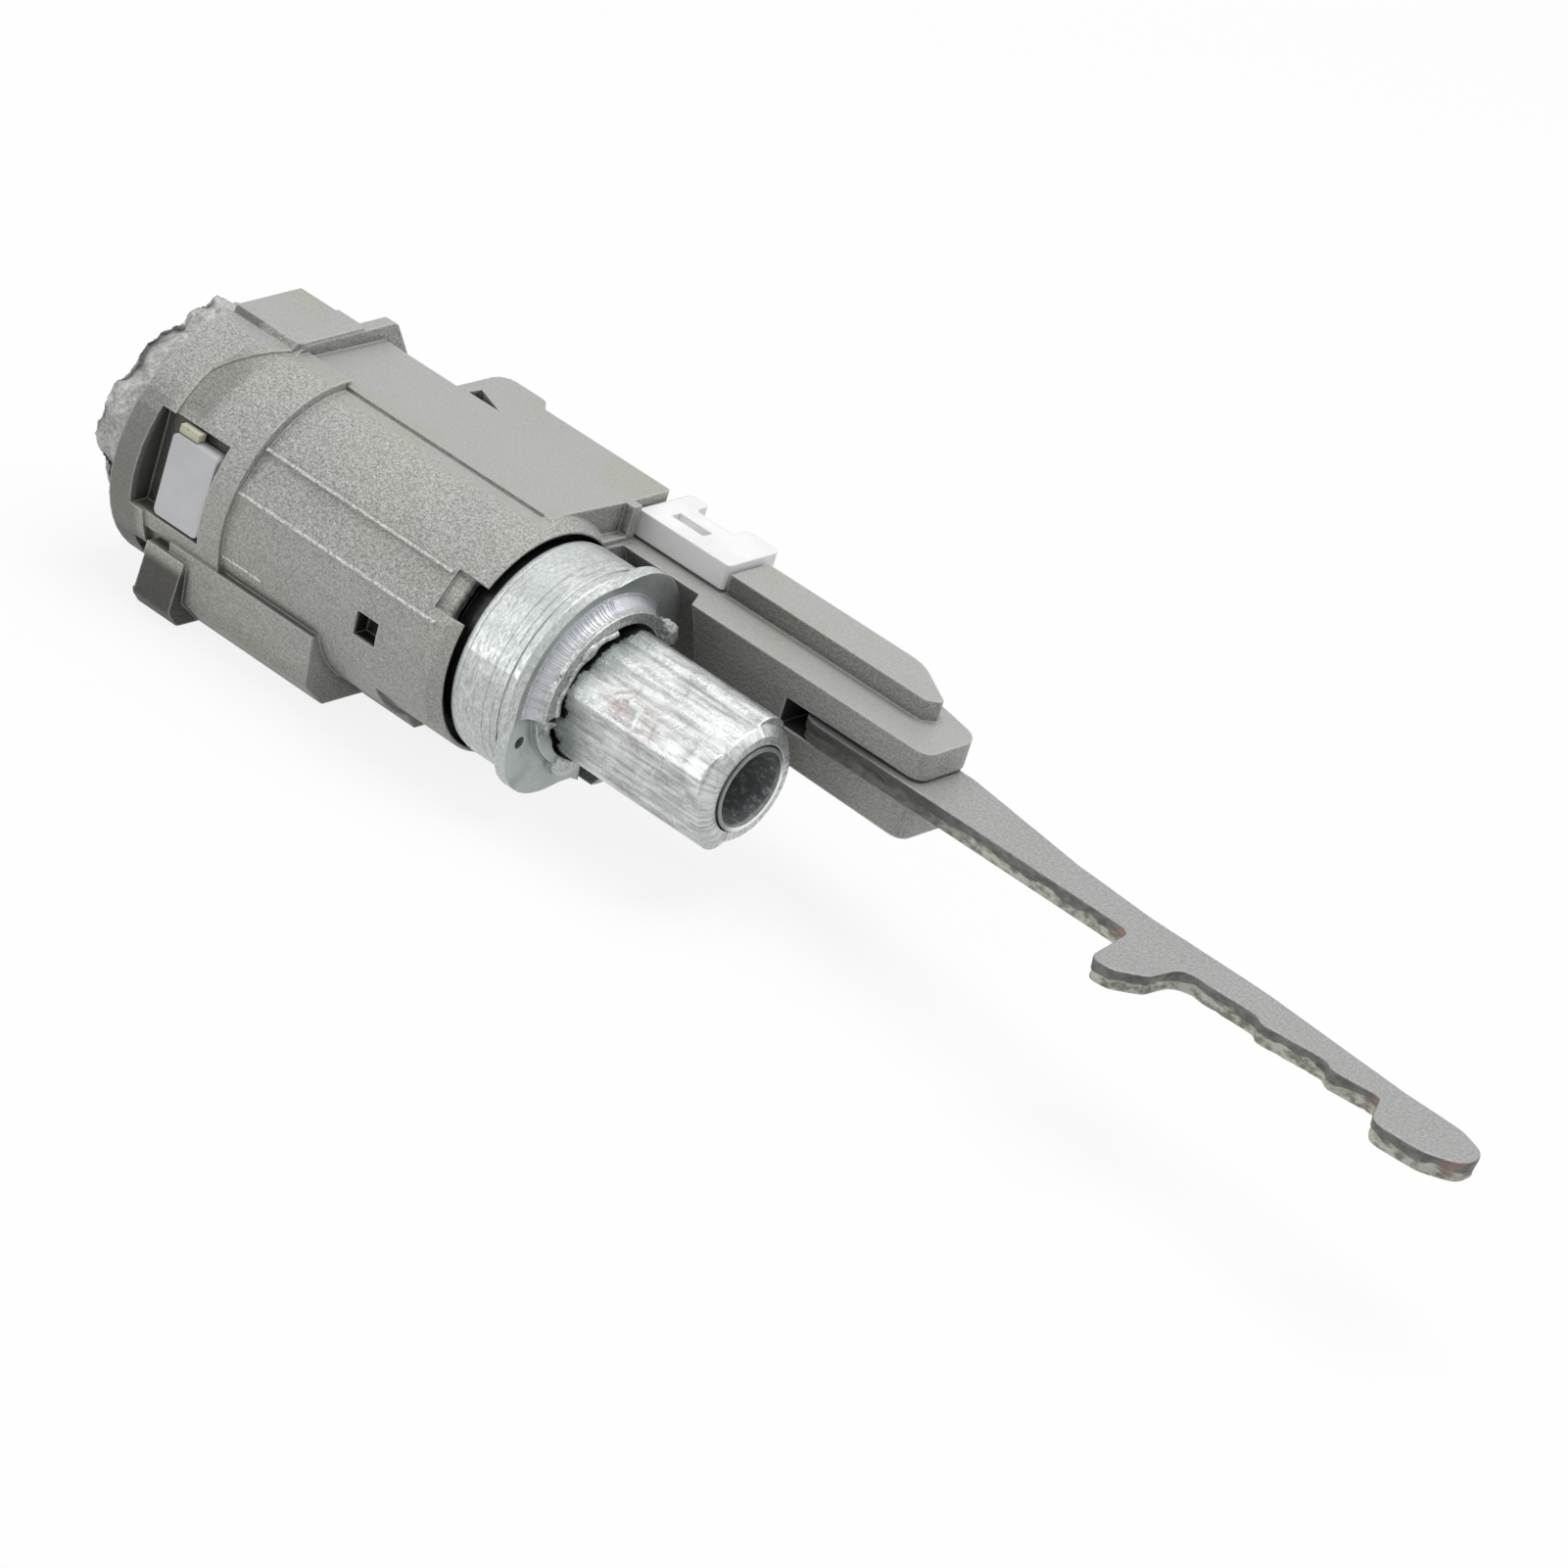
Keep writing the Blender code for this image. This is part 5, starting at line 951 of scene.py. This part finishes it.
def sheared_rows(shape, tear, outer, inward):
    """The rows of corners down the bar's edge, each marked with how torn the metal is."""
    rows = []
    for number, (depth, inset, wander, torn) in enumerate(SHEAR_ROWS):
        row = []
        deepest = BAR_THICKNESS if number == len(SHEAR_ROWS) - 1 else DEEPEST_INNER_ROW
        give = SHARE_OVER_CHIPS if number < ROWS_OVER_CHIPS else 1.0
        for point, way in zip(outer, inward):
            local = (point - AXIS) / MM
            wave = noise.fractal(Vector((local.x * 0.9, local.y * 0.9, number * 0.7)), 1.0, 2.0, 3)
            coarse = noise.noise(Vector((local.x * 0.45, local.y * 0.45, 4.0)))
            chip = 0.0
            if CHIPPED[0] < local.x < CHIPPED[1] and way.y > 0.3:
                chip = CHIP_DEPTH * max(0.0, noise.noise(Vector((local.x * 0.75, 2.0, 9.0))) + 0.05)
            drop = min(deepest, max(0.0, depth + wander * (wave * 0.6 + coarse)))
            pull = inset + 0.6 * wander * abs(wave) + chip * give
            vertex = shape.verts.new(point + way * pull * MM - Vector((0.0, 0.0, drop * MM)))
            vertex[tear] = torn
            row.append(vertex)
        rows.append(row)
    return rows


def sheared_bar(material):
    """The lock bar as the press left it: corners rounded, edge cut clean above and torn below, and chips."""
    loops = outlines("lock_bar")
    shape = bmesh.new()
    tear = shape.verts.layers.float.new("tear")
    rows = sheared_rows(shape, tear, *rounded_outline(loops[0]))
    for upper, lower in zip(rows, rows[1:]):
        for i in range(len(upper)):
            j = (i + 1) % len(upper)
            shape.faces.new((upper[i], lower[i], lower[j], upper[j]))
    holes = []
    for loop in loops[1:]:
        top = [shape.verts.new(point) for point in loop]
        low = [shape.verts.new(point - Vector((0.0, 0.0, BAR_THICKNESS * MM))) for point in loop]
        for vertex in low:
            vertex[tear] = 1.0
        holes.append((top, low))
        bridge(shape, top, low)
    for rim, which in ((rows[0], 0), (rows[-1], 1)):
        edges = []
        for ring in [rim] + [hole[which] for hole in holes]:
            for i, vertex in enumerate(ring):
                edges.append(shape.edges.get((vertex, ring[(i + 1) % len(ring)])))
        bmesh.ops.triangle_fill(shape, edges=edges, use_beauty=True)
    piece = add_piece("sheared_bar", as_mesh(shape, "sheared_bar"), "bar", material)
    for face in piece.data.polygons:
        face.use_smooth = abs(face.normal.z) < 0.97
    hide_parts("lock_bar")


# Studio

# Name, place, target, width and height, and power of each lamp
LAMPS = (
    ("top_softbox", (0.05, 0.10, 0.75), (0.0, 0.0, 0.0), (0.6, 0.6), 4.5),
    ("left_panel", (-0.45, -0.50, 0.45), (0.0, 0.0, 0.0), (0.4, 0.4), 0.7),
    ("low_strip", (-0.36, -0.62, 0.06), (0.0, 0.0, 0.02), (0.2, 0.2), 0.62),
    ("rim_strip", (0.5, 0.5, 0.35), (0.0, 0.0, 0.0), (0.2, 0.7), 0.8),
)
WORLD_STRENGTH = 0.35
FLOOR_HALF = 4.0
FLOOR_DROP = 0.02 * MM
FLOOR_WHITE = 0.86
# The camera's lens in millimetres, its place, the way back from the object to it, and its roll in degrees
LENS = 168.65
CAMERA_PLACE = (325.4, -471.4, 281.7)
CAMERA_BACK = (0.47678, -0.75616, 0.44822)
CAMERA_ROLL = 17.68


def area_light(name, where, target, size, power):
    lamp = bpy.data.lights.new(name, "AREA")
    lamp.shape = "RECTANGLE"
    lamp.size = size[0]
    lamp.size_y = size[1]
    lamp.energy = power
    obj = bpy.data.objects.new(name, lamp)
    bpy.context.scene.collection.objects.link(obj)
    obj.location = where
    obj.rotation_euler = (Vector(where) - Vector(target)).to_track_quat("Z", "Y").to_euler()


def seen_directly(made):
    """1 for rays that show the background: from the camera, from gloss and through glass."""
    path = made.add("ShaderNodeLightPath").outputs
    total = path["Is Camera Ray"]
    for ray in ("Is Glossy Ray", "Is Transmission Ray"):
        total = made.sums("MAXIMUM", total, path[ray])
    return total


def build_world():
    world = bpy.data.worlds.new("studio")
    bpy.context.scene.world = world
    world.use_nodes = True
    made = NodeTree(world.node_tree)
    backdrop = world.node_tree.nodes["Background"]
    backdrop.inputs["Color"].default_value = (1.0, 1.0, 1.0, 1.0)
    inputs = {"Value": seen_directly(made), "To Min": WORLD_STRENGTH, "To Max": 1.0}
    made.put(backdrop.inputs["Strength"], made.add("ShaderNodeMapRange", inputs).outputs["Result"])


def build_floor():
    shape = bmesh.new()
    bmesh.ops.create_grid(shape, x_segments=1, y_segments=1, size=FLOOR_HALF)
    mesh = as_mesh(shape, "floor")
    floor = bpy.data.objects.new("floor", mesh)
    bpy.context.scene.collection.objects.link(floor)
    mesh.transform(Matrix.Translation((0.0, 0.0, -FLOOR_DROP)))
    material = bpy.data.materials.new("pale_floor")
    material.use_nodes = True
    made = NodeTree(material.node_tree)
    paper = made.add("ShaderNodeBsdfDiffuse", {"Color": (FLOOR_WHITE, FLOOR_WHITE, FLOOR_WHITE)}).outputs[0]
    white = made.add("ShaderNodeEmission").outputs[0]
    share = made.add("ShaderNodeMapRange", {"Value": seen_directly(made), "To Max": FLOOR_WHITE})
    mix = made.add("ShaderNodeMixShader", {0: share.outputs["Result"], 1: paper, 2: white})
    made.put(material.node_tree.nodes["Material Output"].inputs["Surface"], mix.outputs[0])
    mesh.materials.append(material)


def build_camera():
    """A long lens from the near right, above, turned a little about its own axis."""
    camera = bpy.data.cameras.new("camera")
    camera.sensor_width = 36.0
    camera.lens = LENS
    camera.clip_start = 0.05
    camera.clip_end = 20.0
    obj = bpy.data.objects.new("camera", camera)
    bpy.context.scene.collection.objects.link(obj)
    obj.location = place(*CAMERA_PLACE)
    roll = Quaternion((0.0, 0.0, 1.0), math.radians(CAMERA_ROLL))
    obj.rotation_mode = "QUATERNION"
    obj.rotation_quaternion = (-Vector(CAMERA_BACK)).to_track_quat("-Z", "Y") @ roll
    bpy.context.scene.camera = obj


def build_studio():
    build_camera()
    build_floor()
    build_world()
    for lamp in LAMPS:
        area_light(*lamp)
    bpy.context.scene.view_settings.view_transform = "Standard"


ring_finish, collar_finish, bar_finish, wire_finish = dress_all()
parting_ridges(rubbed_zinc())
boss_crimp(ring_finish)
hollow_ribs(ring_finish)
drum_skirt(ring_finish)
punch_marks(ring_finish, collar_finish)
staked_crumbs(collar_finish)
lumpy_collar(collar_finish)
sheared_bar(bar_finish)
wafer_springs(wire_finish)
build_studio()
